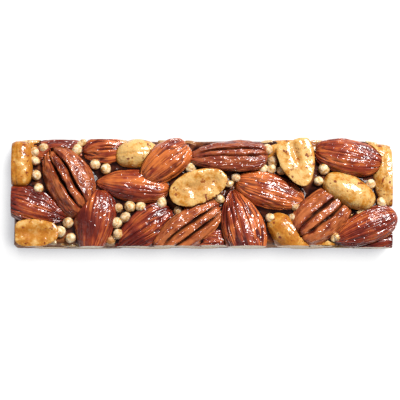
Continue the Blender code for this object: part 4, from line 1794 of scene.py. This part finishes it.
@dataclass(frozen=True)
class NutCrumbs:
    """Bits of broken nut that lie along the long edges and between the nuts.

    Their thickness is a share of their width. Block_power makes them blocky below 1, uneven is the
    share by which lumps change their size, and tilt is the most by which they are tilted, in radians.
    They reach at most overhang past the front.
    """

    thickness: float = 0.8
    block_power: float = 0.8
    uneven: float = 0.22
    lump_scale: float = 1.3
    seed_shift: int = 60
    tilt: Pair = (0.4, 0.2)
    overhang: float = 0.6
    grid: RingGrid = RingGrid(22, 28)
    crumbs: tuple[Crumb, ...] = (
        Crumb(-56.4, 15.4, 10.4, 3.6, 1.9, 8),
        Crumb(-53.2, 15.5, 10.2, 4.4, 2.0, -6, 0.1),
        Crumb(-49.4, 15.6, 10.0, 3.4, 1.7, 12, 0.5),
        Crumb(-38.4, 15.4, 11.2, 3.2, 2.1, 30),
        Crumb(-36.3, 14.6, 10.6, 2.6, 1.8, -20, 0.3),
        Crumb(7.8, 2.4, 12.4, 2.6, 2.0, 25, 0.1),
        Crumb(-6.4, -6.5, 10.9, 1.8, 1.3, 15, 0.2),
        Crumb(2.8, 5.6, 10.8, 2.0, 1.4, 60, 0.6),
        Crumb(17.4, 9.9, 10.7, 2.6, 1.9, 70, 0.7),
        Crumb(19.6, 15.7, 9.9, 4.4, 1.8, 4, 0.3),
        Crumb(-4.6, 15.6, 10.0, 3.6, 1.6, -6, 0.8),
        Crumb(22.6, 11.6, 10.5, 3.0, 2.0, 100, 0.6),
        Crumb(34.6, 13.8, 10.3, 2.8, 2.0, 20, 0.4),
        Crumb(35.0, 16.0, 9.6, 4.6, 1.6, 2, 0.2),
        Crumb(49.6, -6.2, 11.1, 4.8, 2.3, 24, 0.1),
        Crumb(54.6, -4.9, 10.6, 2.2, 1.4, 5),
        Crumb(52.2, 15.3, 10.0, 4.0, 1.8, -14, 0.1),
        Crumb(56.4, 14.3, 10.2, 3.6, 1.7, -12, 0.2),
        Crumb(40.4, -14.0, 10.9, 3.2, 2.2, 60, 0.1),
        Crumb(38.2, -16.0, 9.6, 4.2, 1.8, 4, 0.2),
        Crumb(43.6, -16.7, 8.2, 7.6, 2.0, -1, 0.1),
        Crumb(50.4, -16.6, 7.6, 8.4, 2.2, 1, 0.15),
        Crumb(56.0, -16.3, 7.6, 4.6, 2.0, 6, 0.1),
        Crumb(-36.8, -16.2, 8.8, 6.4, 1.8, 1, 0.2),
        Crumb(-42.4, -16.1, 9.2, 5.2, 1.6, -2, 0.3),
        Crumb(-33.8, -3.0, 10.6, 2.0, 1.5, 40, 0.7),
        Crumb(-26.4, 15.6, 10.6, 5.4, 2.2, 3, 0.35),
        Crumb(-12.6, 15.8, 10.0, 3.8, 1.6, -4, 0.5),
        Crumb(-28.6, -14.6, 10.6, 2.8, 2.0, -30, 0.7),
        Crumb(-47.4, -15.4, 10.1, 3.4, 1.7, -4, 0.2),
    )

    def chip(self, number: int, crumb: Crumb) -> np.ndarray:
        """Makes one crumb in the bar's frame.

        Args:
            number: The crumb's number, which gives it its own shape.
            crumb: Its place and size.

        Returns:
            The points, one per row.
        """
        along, around = self.grid.along(), self.grid.around()
        polar = np.arccos(1 - 2 * along)
        flat = np.sin(polar)
        ball = np.stack([-np.cos(polar), flat * np.cos(around), flat * np.sin(around)], axis=1)
        blocky = np.sign(ball) * np.abs(ball) ** self.block_power
        lumps = self.uneven * layered_noise(ball * self.lump_scale, number + self.seed_shift)
        lumpy = blocky * (1 + lumps)[:, None]
        size = np.array([crumb.length, crumb.width, crumb.width * self.thickness]) / 2
        heading = math.radians(crumb.heading)
        angles = (self.tilt[0] * math.sin(number), self.tilt[1] * math.cos(number), heading)
        turn = np.array(Euler(angles).to_matrix())
        return (lumpy * size) @ turn.T + (crumb.x, crumb.y, crumb.z)

    def piece(self) -> bpy.types.Object:
        """Makes all crumbs as one object.

        Returns:
            The object, dressed.
        """
        chips = [self.chip(number, crumb) for number, crumb in enumerate(self.crumbs)]
        faces = repeated_faces(self.grid, len(chips))
        places = np.concatenate(chips)
        places[:, 0] = np.clip(places[:, 0], -BAR.length / 2, BAR.right_cut)
        places[:, 1] = np.clip(places[:, 1], -BAR.width / 2 - self.overhang, BAR.back(places[:, 0]))
        stains = np.repeat([crumb.stained for crumb in self.crumbs], len(chips[0]))
        return make_object("nut_crumbs", places, faces, [CrumbFlesh().material()], {"stained": stains})


@dataclass(frozen=True)
class Softbox:
    """A square studio light.

    Its direction from the bar is in degrees, its distance and side are in metres, and its glow is its
    brightness where white paper in full light is about 1.
    """

    name: str
    azimuth: float
    elevation: float
    distance: float
    side: float
    glow: float

    def build(self) -> None:
        """Hangs the light and points it at the bar."""
        lamp = bpy.data.lights.new(self.name, "AREA")
        lamp.shape = "SQUARE"
        lamp.size = self.side
        lamp.energy = self.glow * math.pi * self.side**2
        holder = bpy.data.objects.new(self.name, lamp)
        azimuth, elevation = math.radians(self.azimuth), math.radians(self.elevation)
        flat = math.cos(elevation)
        direction = Vector((flat * math.cos(azimuth), flat * math.sin(azimuth), math.sin(elevation)))
        holder.location = direction * self.distance
        holder.rotation_euler = direction.to_track_quat("Z", "Y").to_euler()
        bpy.context.scene.collection.objects.link(holder)


@dataclass(frozen=True)
class Studio:
    """A plain pale floor that glows a little, as a light table does, soft lights and the camera.

    The camera looks down on its target from the front, nearly overhead, and sees frame_width there. The
    floor's side is in metres. Close to the bar a painted shadow darkens the floor's glow, most on the side
    that contact_lean points away from.
    """

    elevation: float = 82.0
    distance: float = 520.0
    frame_width: float = 124.51
    target: Triple = (-1.323, -2.456, 11.0)
    sensor: float = 36.0
    sight: float = 20000.0
    floor_side: float = 3.0
    floor_shade: float = 0.12
    floor_glow: float = 1.0
    floor_grain: float = 20.0
    roughness_reach: Pair = (-0.6, 1.2)
    # Colour of the painted shadow beside the bar
    contact_painted_shadow: Colour = (0.40, 0.40, 0.43, 1.0)
    contact_reach: float = 6.5
    contact_lean: Triple = (0.70, 0.10, 0.71)
    contact_limits: Pair = (0.30, 0.95)
    contact_samples: int = 8
    sky: float = 0.15
    sky_tint: Colour = (0.90, 0.93, 1.0, 1.0)
    boxes: tuple[Softbox, ...] = (
        Softbox("key_box", azimuth=50, elevation=54, distance=0.8, side=0.32, glow=38.0),
        Softbox("fill_box", azimuth=215, elevation=38, distance=0.8, side=0.6, glow=0.5),
    )

    def floor(self) -> bpy.types.Object:
        """Makes the floor.

        Returns:
            The object.
        """
        half = self.floor_side / 2
        mesh = bpy.data.meshes.new("floor")
        outline = [(-half, -half, 0), (half, -half, 0), (half, half, 0), (-half, half, 0)]
        mesh.from_pydata(outline, [], [(0, 1, 2, 3)])
        recipe = Recipe("floor_paint")
        place = recipe.add("ShaderNodeTexCoord", {}).outputs["Object"]
        grain = recipe.noise(place, self.floor_grain)
        # Painted shadow: the glow is darkened near the bar, most on the side the lean points away from
        lean = recipe.add("ShaderNodeCombineXYZ", dict(enumerate(self.contact_lean))).outputs["Vector"]
        inputs = {"Distance": self.contact_reach * MM, "Normal": lean}
        occlusion = recipe.add("ShaderNodeAmbientOcclusion", inputs, samples=self.contact_samples)
        open_sky = recipe.spread(occlusion.outputs["AO"], *self.contact_limits)
        glow = recipe.mix(open_sky, self.contact_painted_shadow, grey(1.0))
        recipe.dress(
            base_color=grey(self.floor_shade),
            roughness=recipe.spread(grain, *self.roughness_reach),
            specular_ior_level=0.0,
            emission_color=glow,
            emission_strength=self.floor_glow,
        )
        mesh.materials.append(recipe.material)
        floor = bpy.data.objects.new("floor", mesh)
        bpy.context.scene.collection.objects.link(floor)
        return floor

    def light(self) -> None:
        """Hangs the lights and sets the even light of the room."""
        for box in self.boxes:
            box.build()
        world = bpy.data.worlds.new("room")
        world.use_nodes = True
        background = world.node_tree.nodes["Background"]
        background.inputs["Color"].default_value = self.sky_tint
        background.inputs["Strength"].default_value = self.sky
        bpy.context.scene.world = world
        bpy.context.scene.view_settings.view_transform = "Standard"

    def camera(self) -> None:
        """Sets up the camera and makes it the scene's."""
        lens = bpy.data.cameras.new("camera")
        lens.sensor_width = self.sensor
        lens.lens = self.sensor * self.distance / self.frame_width
        lens.clip_end = self.sight * MM
        camera = bpy.data.objects.new("camera", lens)
        elevation = math.radians(self.elevation)
        back = Vector((0, -math.cos(elevation), math.sin(elevation)))
        camera.location = (Vector(self.target) + back * self.distance) * MM
        camera.rotation_euler = back.to_track_quat("Z", "Y").to_euler()
        bpy.context.scene.collection.objects.link(camera)
        bpy.context.scene.camera = camera

    def build(self) -> None:
        """Sets up the whole studio."""
        self.floor()
        self.light()
        self.camera()


def attach(piece: bpy.types.Object, slot: Slot, *nodes: str) -> None:
    """Ties a piece to the bar's one body and to the solids that it stands for.

    Args:
        piece: The piece.
        slot: The record's slot that it takes its finish from; not used.
        nodes: The solids that it replaces.
    """
    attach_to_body(piece, "root")
    if nodes:
        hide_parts(*nodes)
    log.info("%s: %d faces, for %s", piece.name, len(piece.data.polygons), ", ".join(nodes) or "no solid")


def main() -> None:
    """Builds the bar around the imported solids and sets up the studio."""
    logging.basicConfig(level=logging.INFO, format="%(message)s")
    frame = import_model()
    nuts = [*UPPER_NUTS, *LOWER_NUTS, *BaseLayer().nuts()]
    for order, nut in enumerate(nuts):
        attach(nut.piece(nuts[:order]), nut.slot, nut.name)
    attach(SyrupSlab().piece(nuts), Slot.SYRUP, "syrup")
    attach(PuffedGrains().piece(), Slot.SYRUP, "syrup")
    attach(NutCrumbs().piece(), Slot.SPLIT_PEANUT, "syrup")
    Studio().build()
    log.info("%d solids, %d nuts", len(frame["nodes"]), len(nuts))


if __name__ == "__main__":
    main()
